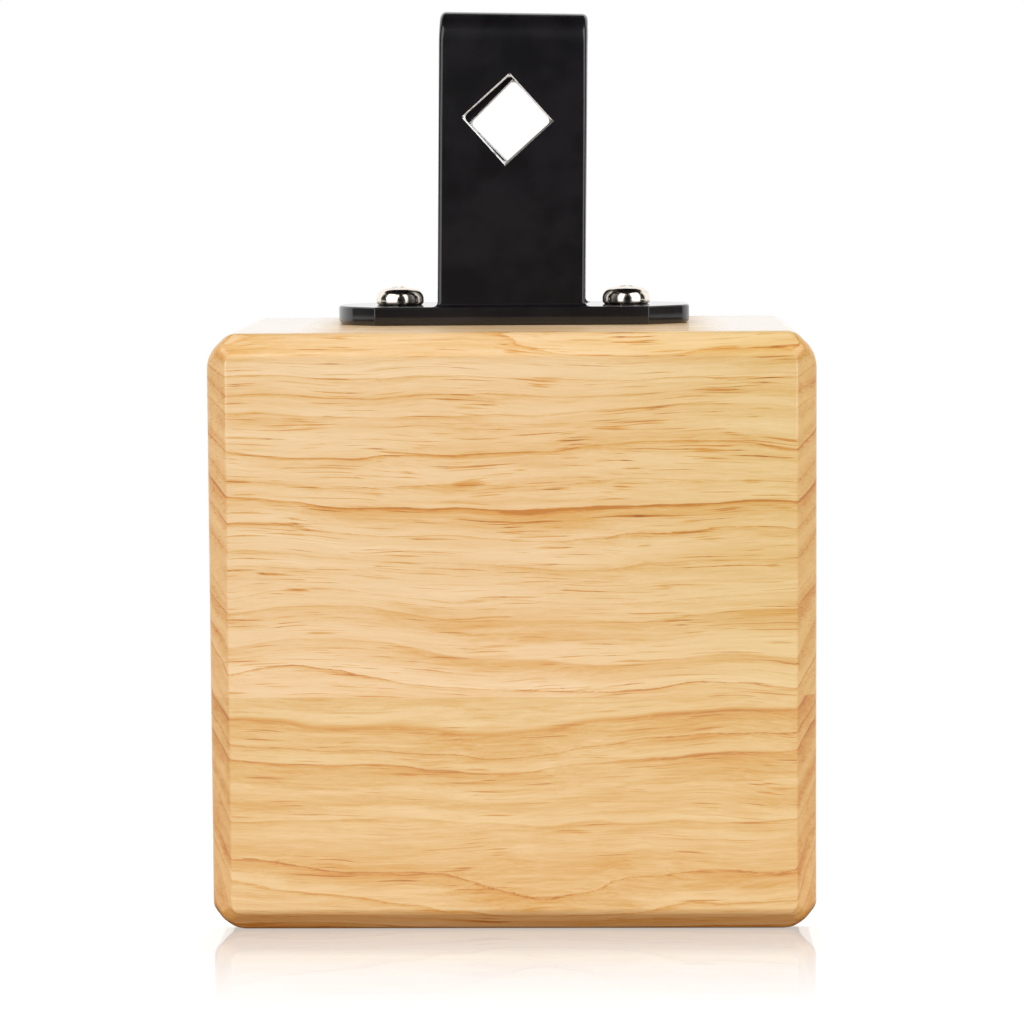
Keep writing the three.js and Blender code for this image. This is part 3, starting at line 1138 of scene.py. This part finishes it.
        weigh_edges(plate, width, end_run)
        soften(plate, end_run, self.corner_segments)
        with Editing(plate) as edit:
            for height, radius in ((low.z, self.bottom_rim), (high.z, self.top_rim)):
                edit.pick(Element.EDGE, lambda edge: self._on_level(edge, height))
                edit.bevel(radius, self.rim_segments)
        for side in ("left", "right"):
            centre = middle_of(*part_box("bracket_screw_" + side))
            self._drill(plate, centre, self.screw_hole_radius, low.z - self.sheet, high.z)
        smooth(plate)
        return plate

    def _drill(self, piece: Piece, centre: Vector, radius: float, low: float, high: float) -> None:
        """Drills an upright hole, from a height to a sheet's thickness over another."""
        above = high + self.sheet
        carve(piece, start_rod("drill", centre, radius, low, above, self.round_sides))

    def _strap_middle(self, low: Vector) -> float:
        """Place of the strap's middle line, from the lowest corner of its solid."""
        return low.x - self.strap_left + self.strap_width / 2

    @staticmethod
    def _on_level(edge: bmesh.types.BMEdge, height: float) -> bool:
        """Whether an edge lies level at a height."""
        return all(near(corner.co.z, height) for corner in edge.verts)

    def _strap(self) -> Piece:
        """Bent strap with its fillets and rod holes."""
        low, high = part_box("rod_strap")
        middle = self._strap_middle(low)
        front, rear = low.y + self.weld_setback, high.y - self.weld_setback
        shoulder = high.z - self.strap_bend
        half = self.strap_width / 2
        foot = low.z + self.flange
        strap = start_box(
            "bracket_strap",
            Vector((middle - half, front, foot)),
            Vector((middle + half, front + self.sheet, shoulder)),
        )
        with Editing(strap) as edit:
            edit.pick(Element.FACE, lambda face: face.normal.z > STRAIGHT)
            for centre_y, run in (
                (front + self.strap_bend, Vector((0, rear - front - 2 * self.strap_bend, 0))),
                (rear - self.strap_bend, Vector((0, 0, foot - shoulder))),
            ):
                centre = Vector((middle, centre_y, shoulder))
                bpy.ops.mesh.spin(
                    steps=self.bend_steps, angle=QUARTER_TURN, center=centre, axis=AXES[0]
                )
                edit.extrude(run)
            edit.tidy()
        for leg, hole in ((front, self.front_hole), (rear - self.sheet, self.rear_hole)):
            self._rod_hole(strap, middle, leg, low.z, hole)
            self._flange(strap, middle, leg, foot, low.z)
        self._round_strap(strap, middle, foot, shoulder)
        strap.data.transform(self._lean(low.z))
        pivot = Vector((middle - half, (front + rear) / 2, shoulder))
        with Editing(strap) as edit:
            edit.pick(Element.POINT, lambda point: point.co.z > shoulder - TINY)
            bpy.ops.transform.rotate(
                value=-self.crown_drop, orient_axis="Y", center_override=pivot
            )
        top = Vector((middle + math.tan(self.strap_lean) * (high.z - low.z), (front + rear) / 2, 0))
        self._drill(strap, top, self.crown_hole_radius, high.z - 2 * self.sheet, high.z)
        smooth(strap)
        return strap

    def _lean(self, base: float) -> Matrix:
        """The strap's lean: a sideways shift that grows with the height over its base."""
        lean = Matrix.Identity(4)
        lean[0][2] = math.tan(self.strap_lean)
        lean[0][3] = -math.tan(self.strap_lean) * base
        return lean

    def _rod_hole(
        self, strap: Piece, middle: float, leg: float, base: float, hole: Triple
    ) -> None:
        """Opens one square rod hole, standing on its corner, through a leg.

        Args:
            strap: The bent strap.
            middle: Place of the strap's middle line.
            leg: Front of the leg.
            base: Height of the strap's foot.
            hole: The hole.
        """
        centre = self._hole_centre(middle, base, hole) + Vector((0, leg + self.sheet / 2, 0))
        reach = self.rod_hole / math.sqrt(2)

        def in_hole(place: Vector, allowed: float = reach * self.hole_allowance) -> bool:
            """Whether a place in the leg is no farther from the hole's axis than allowed."""
            in_leg = leg - TINY < place.y < leg + self.sheet + TINY
            return in_leg and flat_place(place - centre).length < allowed

        def on_leg(face: bmesh.types.BMFace, allowed: float = math.inf) -> bool:
            """Whether a face is in the front or the rear of the leg."""
            return abs(face.normal.y) > STRAIGHT and in_hole(face.calc_center_median(), allowed)

        with Editing(strap) as edit:
            for axis in (AXES[0], AXES[2]):
                edit.pick(Element.FACE, on_leg)
                edit.score(centre, axis)
            edit.pick(Element.POINT, lambda point: in_hole(point.co, TINY))
            bpy.ops.mesh.bevel(offset=reach, segments=1, affect="VERTICES", offset_type="OFFSET")
            edit.pick(Element.FACE, lambda face: on_leg(face, reach))
            bpy.ops.mesh.bridge_edge_loops()
            edit.pick(Element.POINT, lambda point: in_hole(point.co))
            bpy.ops.transform.rotate(value=-hole[2], orient_axis="Y", center_override=centre)

    def _hole_centre(self, middle: float, base: float, hole: Triple) -> Vector:
        """Centre of a rod hole in the strap before it leans."""
        shift, height, _turn = hole
        return Vector((middle + shift - math.tan(self.strap_lean) * height, 0, base + height))

    def _flange(self, strap: Piece, middle: float, leg: float, foot: float, base: float) -> None:
        """Spreads the end of one leg into a thin flange, which carries its fillet.

        Args:
            strap: The bent strap.
            middle: Place of the strap's middle line.
            leg: Front of the leg.
            foot: Height that the leg ends at.
            base: Height that its flange stands on.
        """
        centre = Vector((middle, leg + self.sheet / 2, foot))
        wider = 1 + 2 * self.side_margin / self.strap_width
        deeper = 1 + 2 * self.fillet_margin / self.sheet

        def at_end(face: bmesh.types.BMFace) -> bool:
            """Whether a face closes the end of this leg."""
            apart = face.calc_center_median() - centre
            return face.normal.z < -STRAIGHT and apart.length < self.sheet

        with Editing(strap) as edit:
            edit.pick(Element.FACE, at_end)
            edit.extrude(Vector((0, 0, 0)))
            bpy.ops.transform.resize(value=(wider, deeper, 1.0), center_override=centre)
            edit.extrude(Vector((0, 0, base - foot)))

    def _round_strap(self, strap: Piece, middle: float, foot: float, shoulder: float) -> None:
        """Rounds the strap's long edges, its feet and the rims of its holes.

        Args:
            strap: The bent strap.
            middle: Place of its middle line.
            foot: Height that its legs end at.
            shoulder: Height that its crown starts at.
        """
        half = self.strap_width / 2
        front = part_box("rod_strap")[0].y + self.weld_setback
        inner = self.rod_hole / math.sqrt(2) * self.hole_allowance
        centres = [
            self._hole_centre(middle, foot - self.flange, hole)
            for hole in (self.front_hole, self.rear_hole)
        ]

        def width(place: Vector, along: Vector, edge: Any) -> float:
            """Width of the rounding of one edge of the strap."""
            on_side = near(abs(place.x - middle), half) and abs(along.x) < MOSTLY
            sides = [abs(face.normal.x) > STRAIGHT for face in edge.link_faces]
            if near(place.z, foot) and abs(along.z) < MOSTLY:
                if edge.is_convex:
                    return 0.0
                return self.fillet if abs(along.x) > MOSTLY else self.side_fillet
            if on_side and place.z > foot + TINY and sorted(sides) == [False, True]:
                return self.crown_rim if place.z > shoulder else self.strap_rim
            if all((flat_place(place) - centre).length >= inner for centre in centres):
                return 0.0
            if abs(along.y) > STRAIGHT:
                return self.hole_corner
            apart = flat_place(place) - centres[0]
            flared = near(place.y, front) and apart.x > 0 > apart.z
            return self.hole_flare if flared else self.hole_rim

        most = max(self.fillet, self.side_fillet, self.hole_corner, self.hole_flare, self.crown_rim)
        weigh_edges(strap, width, most)
        soften(strap, most, self.rim_segments)


@dataclass(frozen=True)
class Thread:
    """The helix of a screw."""

    core: float
    crest: float
    pitch: float
    sides: int = 48
    outline: tuple[Range, ...] = ((0, 0), (0.14, 0), (0.5, 1), (0.64, 1), (1, 0))

    def rod(self, name: str, centre: Vector, low: float, high: float) -> Piece:
        """A threaded rod, sawn square at both ends.

        Args:
            name: Name of the piece.
            centre: Any point on its axis.
            low: Height of its lower end.
            high: Height of its upper end.

        Returns:
            The new piece.
        """
        rise = self.crest - self.core
        points = [
            Vector((self.core + rise * lift, 0, low + self.pitch * (share - 1)))
            for share, lift in self.outline
        ]
        rod = start_line(name, points)
        apply_modifier(
            rod,
            "SCREW",
            angle=FULL_TURN,
            screw_offset=self.pitch,
            iterations=math.ceil((high - low) / self.pitch) + 2,
            steps=self.sides,
            render_steps=self.sides,
        )
        with Editing(rod) as edit:
            edit.tidy()
            edit.saw(Vector((0, 0, low)), -AXES[2])
            edit.saw(Vector((0, 0, high)), AXES[2])
            edit.tidy()
        rod.data.transform(Matrix.Translation((centre.x, centre.y, 0)))
        return rod


def arc(centre: Range, radius: float, start: float, end: float, steps: int) -> list[Range]:
    """Points on an arc, from its first angle to its last."""
    turns = [start + (end - start) * step / steps for step in range(steps + 1)]
    return [
        (centre[0] + radius * math.cos(turn), centre[1] + radius * math.sin(turn)) for turn in turns
    ]


@dataclass
class PanScrews:
    """Two pan head screws with a cross recess, which hold the foot to the wood."""

    head_radius: float = 0.00495
    head_height: float = 0.0038
    crown: float = 0.0004
    rounding: float = 0.0022
    undercut: float = 0.0007
    shank_radius: float = 0.0019
    shank_length: float = 0.0025
    overlap: float = 0.0006
    point_length: float = 0.004
    thread: Thread = Thread(core=0.0016, crest=0.00235, pitch=0.0016)
    recess_span: float = 0.005
    recess_slot: float = 0.00105
    recess_depth: float = 0.002
    recess_taper: Triple = (0.42, 0.7, 1.0)
    turns: tuple[tuple[str, float], ...] = (
        ("left", math.radians(28)),
        ("right", math.radians(52)),
    )
    steps: int = 10
    sides: int = 96
    finish: NickelPlate = NickelPlate()

    def build(self) -> list[Piece]:
        """Turns one screw, copies it to both places and returns the pair."""
        low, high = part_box("bracket_screw_left")
        model = self._screw(Vector((0, 0, 0)), low.z, high.z - self.head_height)
        dress(model, self.finish.material())
        pieces = []
        for side, turn in self.turns:
            node = "bracket_screw_" + side
            low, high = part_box(node)
            centre = middle_of(low, high)
            piece = copy_of(model, "pan_screw_" + side)
            place = Matrix.Translation((centre.x, centre.y, 0)) @ Matrix.Rotation(turn, 4, "Z")
            piece.data.transform(place)
            pieces.append(fit(piece, Body.BLOCK, "nickel", node))
        discard(model)
        return pieces

    def _screw(self, centre: Vector, tip: float, seat: float) -> Piece:
        """One screw.

        Args:
            centre: A point on its axis.
            tip: Height of its point.
            seat: Height that its head stands on.

        Returns:
            The screw.
        """
        shoulder = self.head_height - self.crown
        outline = [(0, -self.shank_length), (self.shank_radius, -self.shank_length)]
        outline.append((self.shank_radius, 0))
        under = (self.head_radius - self.undercut, self.undercut)
        outline += arc(under, self.undercut, -QUARTER_TURN, 0, self.steps // 2)
        round_centre = (self.head_radius - self.rounding, shoulder - self.rounding)
        outline += arc(round_centre, self.rounding, 0, QUARTER_TURN, self.steps)
        flat = self.head_radius - self.rounding
        for step in range(1, self.steps + 1):
            share = step / self.steps
            outline.append((flat * (1 - share), shoulder + self.crown * share * (2 - share)))
        head = start_turned(
            "pan_screw", centre, [(radius, seat + height) for radius, height in outline], self.sides
        )
        for turn in (0.0, QUARTER_TURN):
            carve(head, self._slot(centre, seat + self.head_height, turn))
        neck, crest = seat - self.shank_length + self.overlap, self.thread.crest
        outline = [(0, tip), (crest, tip + self.point_length), (crest, neck), (0, neck)]
        blank = start_turned("point", centre, outline, self.sides)
        shank = self.thread.rod("thread", centre, tip, neck - self.overlap / 3)
        carve(shank, blank, "INTERSECT")
        carve(head, shank, "UNION")
        with Editing(head) as edit:
            edit.tidy()
        smooth(head)
        return head

    def _slot(self, centre: Vector, top: float, turn: float) -> Piece:
        """One wing of the cross recess, narrower at its foot."""
        half = Vector((self.recess_span / 2, self.recess_slot / 2, 0))
        foot = Vector((0, 0, top - self.recess_depth))
        wing = start_box("recess", foot - half, foot + half + Vector((0, 0, 2 * self.recess_depth)))
        with Editing(wing) as edit:
            edit.pick(Element.FACE, lambda face: face.normal.z < -STRAIGHT)
            bpy.ops.transform.resize(value=self.recess_taper, center_override=foot)
        wing.data.transform(Matrix.Translation(centre) @ Matrix.Rotation(turn, 4, "Z"))
        return wing


@dataclass
class RodClamp:
    """Nut under the crown of the strap, and the headless screw in it that holds the rod."""

    flats: float = 0.013
    face_share: float = 0.94
    bevel_slope: float = math.tan(math.radians(30))
    bore: float = 0.00415
    bore_chamfer: float = 0.0006
    thread: Thread = Thread(core=0.00335, crest=0.00398, pitch=0.00125)
    foot_chamfer: float = 0.001
    top_chamfer: float = 0.0005
    key: float = 0.004
    key_depth: float = 0.004
    key_cone: float = 0.0011
    sinking: float = 0.0004
    sides: int = 96
    oxide: BlackOxide = BlackOxide()

    def build(self) -> list[Piece]:
        """Builds and dresses the nut and the screw and returns them."""
        low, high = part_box("clamp_nut")
        centre = middle_of(low, high)
        nut = self._nut(centre, low.z, high.z)
        low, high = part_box("clamp_screw")
        screw = self._screw(centre, low.z, high.z - self.sinking)
        oxide = self.oxide.material()
        for piece in (nut, screw):
            dress(piece, oxide)
        return [
            fit(nut, Body.BLOCK, "black_oxide", "clamp_nut"),
            fit(screw, Body.CLAMP, "black_oxide", "clamp_screw"),
        ]

    def _hexagon(self, name: str, centre: Vector, flats: float, low: float, high: float) -> Piece:
        """An upright hexagon bar, two of whose flats face the legs of the strap."""
        bar = start_rod(name, centre, flats / 2 / math.cos(TWELFTH_TURN), low, high, 6)
        middle = Vector((centre.x, centre.y, 0))
        turn = Matrix.Rotation(TWELFTH_TURN, 4, "Z")
        bar.data.transform(Matrix.Translation(middle) @ turn @ Matrix.Translation(-middle))
        return bar

    def _nut(self, centre: Vector, low: float, high: float) -> Piece:
        """Hexagon nut with chamfered corners and a countersunk bore."""
        nut = self._hexagon("rod_nut", centre, self.flats, low, high)
        corner = self.flats / 2 / math.cos(TWELFTH_TURN)
        face = self.flats / 2 * self.face_share
        drop = (corner - face) * self.bevel_slope
        outline = [(0, low), (face, low), (corner, low + drop)]
        outline += [(corner, high - drop), (face, high), (0, high)]
        carve(nut, start_turned("nut_blank", centre, outline, self.sides), "INTERSECT")
        wide, cut = self.bore + self.bore_chamfer, self.bore_chamfer
        outline = [(0, low - cut), (wide + cut, low - cut), (self.bore, low + cut)]
        outline += [(self.bore, high - cut), (wide + cut, high + cut), (0, high + cut)]
        carve(nut, start_turned("nut_bore", centre, outline, self.sides))
        smooth(nut)
        return nut

    def _screw(self, centre: Vector, low: float, high: float) -> Piece:
        """Headless screw with a hexagon socket."""
        screw = self.thread.rod("rod_set_screw", centre, low, high)
        crest = self.thread.crest
        outline = [(0, low), (crest - self.foot_chamfer, low), (crest, low + self.foot_chamfer)]
        outline += [(crest, high - self.top_chamfer), (crest - self.top_chamfer, high), (0, high)]
        carve(screw, start_turned("screw_blank", centre, outline, self.sides), "INTERSECT")
        foot = high - self.key_depth
        carve(screw, self._hexagon("socket", centre, self.key, foot, high + self.key_depth))
        rim, top = self.key / 2 * self.face_share, foot + TINY
        cone = [(0, foot - self.key_cone), (rim, top), (0, top)]
        carve(screw, start_turned("socket_cone", centre, cone, self.sides))
        with Editing(screw) as edit:
            edit.tidy()
        smooth(screw)
        return screw


@dataclass
class Camera:
    """The camera, at the place and angle from which the block is seen."""

    place: Triple = (0.0184, -0.8129, 0.1527)
    yaw: float = math.radians(-1.36)
    pitch: float = math.radians(5.12)
    roll: float = math.radians(0.35)
    lens: float = 138.8
    sensor: float = 36.0

    def build(self) -> Piece:
        """Creates the camera and makes it the scene's own."""
        data = bpy.data.cameras.new("camera")
        data.lens = self.lens
        data.sensor_width = self.sensor
        camera = bpy.data.objects.new("camera", data)
        bpy.context.scene.collection.objects.link(camera)
        camera.matrix_world = self._matrix()
        bpy.context.scene.camera = camera
        return camera

    def _matrix(self) -> Matrix:
        """Place and turn of the camera."""
        level = math.cos(self.pitch)
        side, front = math.sin(self.yaw), math.cos(self.yaw)
        ahead = Vector((side * level, front * level, -math.sin(self.pitch)))
        right = Vector((front, -side, 0))
        down = ahead.cross(right)
        turned_right = math.cos(self.roll) * right + math.sin(self.roll) * down
        turned_down = math.cos(self.roll) * down - math.sin(self.roll) * right
        turn = Matrix((turned_right, -turned_down, -ahead)).transposed().to_4x4()
        return Matrix.Translation(self.place) @ turn


@dataclass(frozen=True)
class Softbox:
    """A soft lamp: its place, what it is turned to, its size and its power in watts."""

    name: str
    bearing: float
    distance: float
    lift: float
    width: float
    height: float
    watts: float
    in_gloss: bool = True

    def build(self, aim: Vector) -> Piece:
        """Creates the lamp.

        Args:
            aim: The point that it is turned to and measured from.

        Returns:
            The lamp.
        """
        data = bpy.data.lights.new(self.name, "AREA")
        data.shape = "RECTANGLE"
        data.size = self.width
        data.size_y = self.height
        data.energy = self.watts
        lamp = bpy.data.objects.new(self.name, data)
        bpy.context.scene.collection.objects.link(lamp)
        bearing, lift = math.radians(self.bearing), math.radians(self.lift)
        level = math.cos(lift)
        away = Vector((math.sin(bearing) * level, -math.cos(bearing) * level, math.sin(lift)))
        lamp.rotation_euler = (-away).to_track_quat("-Z", "Y").to_euler()
        lamp.location = aim + away * self.distance
        lamp.visible_glossy = self.in_gloss
        return lamp


@dataclass
class Studio:
    """White floor and backdrop, soft lamps, and a dark screen that only shows in gloss.

    The screen stands behind the camera and curves over the block, as the dark half of a room does,
    so that black and bright metal have something dark to reflect.
    """

    aim: Triple = (0.0, 0.0, 0.1)
    floor_half: float = 6.0
    ambient: float = 0.5
    # Colours that diffuse rays find on the floor: a painted warm bounce close to the block, fading
    # to plain grey.
    bounce_close: Colour = (0.47, 0.26, 0.13)
    bounce_far: Colour = (0.3, 0.3, 0.3)
    bounce_reach: float = 0.12
    dark_from: float = 0.35
    dark_past: float = 0.7
    floor_shade: float = 0.1
    floor_glow: float = 0.97
    # Painted light: tint of the floor's glow just before the front of the block.
    warm_glow: Colour = (1.0, 0.94, 0.86)
    warm_reach: float = 0.04
    contact_reach: float = 0.02
    mirror: float = 0.47
    mirror_roughness: float = 0.02
    mirror_reach: float = 0.078
    mirror_start: float = 0.005
    mirror_margin: float = 0.002
    white_from: float = 0.05
    white_past: float = 0.4
    screen_radius: float = 2.6
    screen_half_turn: float = math.radians(103)
    screen_foot: float = math.radians(-2.2)
    screen_top: float = math.radians(137)
    screen_shade: float = 0.004
    screen_steps: int = 24
    lamps: tuple[Softbox, ...] = (
        Softbox("left_lamp", -40.0, 1.3, 19.0, 1.35, 1.9, 15.8),
        Softbox("right_lamp", 50.0, 1.3, 19.0, 1.0, 1.9, 13.2),
        Softbox("back_lamp", 180.0, 1.5, 26.0, 2.4, 0.7, 9.0, False),
    )

    def build(self, footprint: tuple[Vector, Vector]) -> None:
        """Builds the floor, the backdrop, the screen and the lamps, round what stands there."""
        self._world()
        self._floor(footprint)
        self._screen()
        for lamp in self.lamps:
            lamp.build(Vector(self.aim))

    @staticmethod
    def _seen(graph: Graph) -> Socket:
        """One for rays from the camera, from shiny surfaces and through glass."""
        path = graph.node("ShaderNodeLightPath", {}).outputs
        either = graph.calculate("MAXIMUM", path["Is Camera Ray"], path["Is Glossy Ray"])
        return graph.calculate("MAXIMUM", either, path["Is Transmission Ray"])

    def _world(self) -> None:
        """White where it is seen, and dimmer as a light."""
        world = bpy.data.worlds.new("white_studio")
        bpy.context.scene.world = world
        graph = Graph(world, "ShaderNodeOutputWorld")
        strength = graph.spread(self._seen(graph), self.ambient, 1.0)
        white = {"Color": graph.opaque(WHITE), "Strength": strength}
        graph.close(graph.shader("ShaderNodeBackground", white))

    def _floor(self, footprint: tuple[Vector, Vector]) -> None:
        """Pale floor that mirrors the block faintly close to it and is plain white farther off."""
        add, side = bpy.ops.mesh.primitive_plane_add, 2 * self.floor_half
        floor = begin("studio_floor", add, size=side, location=(0, 0, 0))
        graph = Graph.of_material("studio_floor")
        away = self._away(graph, footprint)
        seen = self._seen(graph)
        before = self._before(graph, footprint)
        # Painted bounce light: unseen rays find the floor orange-brown close to the block, standing
        # in for light thrown back off the wood on to its lower chamfer.
        bounced = graph.step(away, 0.0, self.bounce_reach)
        bounce = graph.tint(bounced, self.bounce_close, self.bounce_far)
        paint = graph.tint(seen, bounce, (self.floor_shade,) * 3)
        # Painted light: the floor's glow just before the front of the block is tinted warm, as
        # light off the wood would tint it.
        warmth = graph.times(graph.step(away, self.warm_reach, 0.0), before)
        light = graph.tint(warmth, WHITE, self.warm_glow)
        flat = graph.shader("ShaderNodeBsdfDiffuse", {"Color": paint})
        glow = graph.glow(light, graph.times(seen, self.floor_glow))
        pale = graph.shader("ShaderNodeAddShader", {0: flat, 1: glow})
        gloss = {"Color": graph.opaque(WHITE), "Roughness": self.mirror_roughness}
        mirror = graph.shader("ShaderNodeBsdfGlossy", gloss)
        fading = graph.spread(away, self.mirror, 0.0, 0.0, self.mirror_reach)
        near_by = graph.mixed(graph.times(graph.times(fading, seen), before), pale, mirror)
        far = graph.times(graph.step(away, self.white_from, self.white_past), seen)
        lit = graph.mixed(far, near_by, graph.glow(WHITE))
        dark = graph.glow((self.screen_shade,) * 3)
        graph.close(graph.mixed(self._unlit(graph, away), lit, dark))
        floor.data.materials.append(graph.owner)

    def _before(self, graph: Graph, footprint: tuple[Vector, Vector]) -> Socket:
        """One on the floor straight before the front of the block."""
        low, high = footprint
        x, y, _z = graph.parts(graph.place())
        aside = graph.calculate("ABSOLUTE", graph.less(x, middle_of(low, high).x))
        half = (high.x - low.x) / 2
        start = low.y + self.mirror_start
        ahead = graph.step(y, start + self.mirror_margin, start)
        return graph.times(ahead, graph.step(aside, half + self.mirror_margin, half))

    def _unlit(self, graph: Graph, away: Socket) -> Socket:
        """One for gloss that sees the floor well in front of the block or close under its edge."""
        _x, y, _z = graph.parts(graph.place())
        gloss = graph.node("ShaderNodeLightPath", {}).outputs["Is Glossy Ray"]
        front = graph.step(y, -self.dark_from, -self.dark_past)
        close = graph.step(away, self.contact_reach, 0.0)
        return graph.times(graph.calculate("MAXIMUM", front, close), gloss)

    @staticmethod
    def _away(graph: Graph, footprint: tuple[Vector, Vector]) -> Socket:
        """Distance past the footprint's outline."""
        low, high = footprint
        centre = middle_of(low, high)
        x, y, _z = graph.parts(graph.place())
        squares = []
        for place, middle, half in (
            (x, centre.x, (high.x - low.x) / 2),
            (y, centre.y, (high.y - low.y) / 2),
        ):
            past = graph.less(graph.calculate("ABSOLUTE", graph.less(place, middle)), half)
            past = graph.calculate("MAXIMUM", past, 0.0)
            squares.append(graph.times(past, past))
        return graph.calculate("SQRT", graph.total(*squares))

    def _screen(self) -> None:
        """Dark curved screen, which only shiny surfaces see."""
        centre = Vector(self.aim)
        rise = (self.screen_top - self.screen_foot) / self.screen_steps
        turns = [self.screen_foot + rise * step for step in range(self.screen_steps + 1)]
        start = Matrix.Rotation(self.screen_half_turn, 4, "Z")
        points = [
            centre + start @ Vector((0, -math.cos(turn), math.sin(turn))) * self.screen_radius
            for turn in turns
        ]
        whole_turn = 2 * self.screen_half_turn
        screen = start_line("dark_screen", points)
        with Editing(screen) as edit:
            edit.pick_all()
            bpy.ops.mesh.spin(
                steps=self.screen_steps, angle=whole_turn, center=centre, axis=AXES[2]
            )
            edit.tidy()
        graph = Graph.of_material("dark_screen")
        graph.close(graph.glow((self.screen_shade,) * 3))
        screen.data.materials.append(graph.owner)
        screen.visible_camera = False
        screen.visible_diffuse = False
        screen.visible_shadow = False
        screen.visible_transmission = False


def main() -> None:
    """Builds the block, its bracket and the studio, and reports each piece."""
    logging.basicConfig(level=logging.INFO, format="%(name)s: %(message)s")
    bpy.context.scene.view_settings.view_transform = "Standard"
    box = Box()
    for assembly in (box, Bracket(), PanScrews(), RodClamp()):
        for piece in assembly.build():
            log.info("%s: %d faces", piece.name, len(piece.data.polygons))
    Camera().build()
    Studio().build((box.low, box.high))


if __name__ == "__main__":
    main()
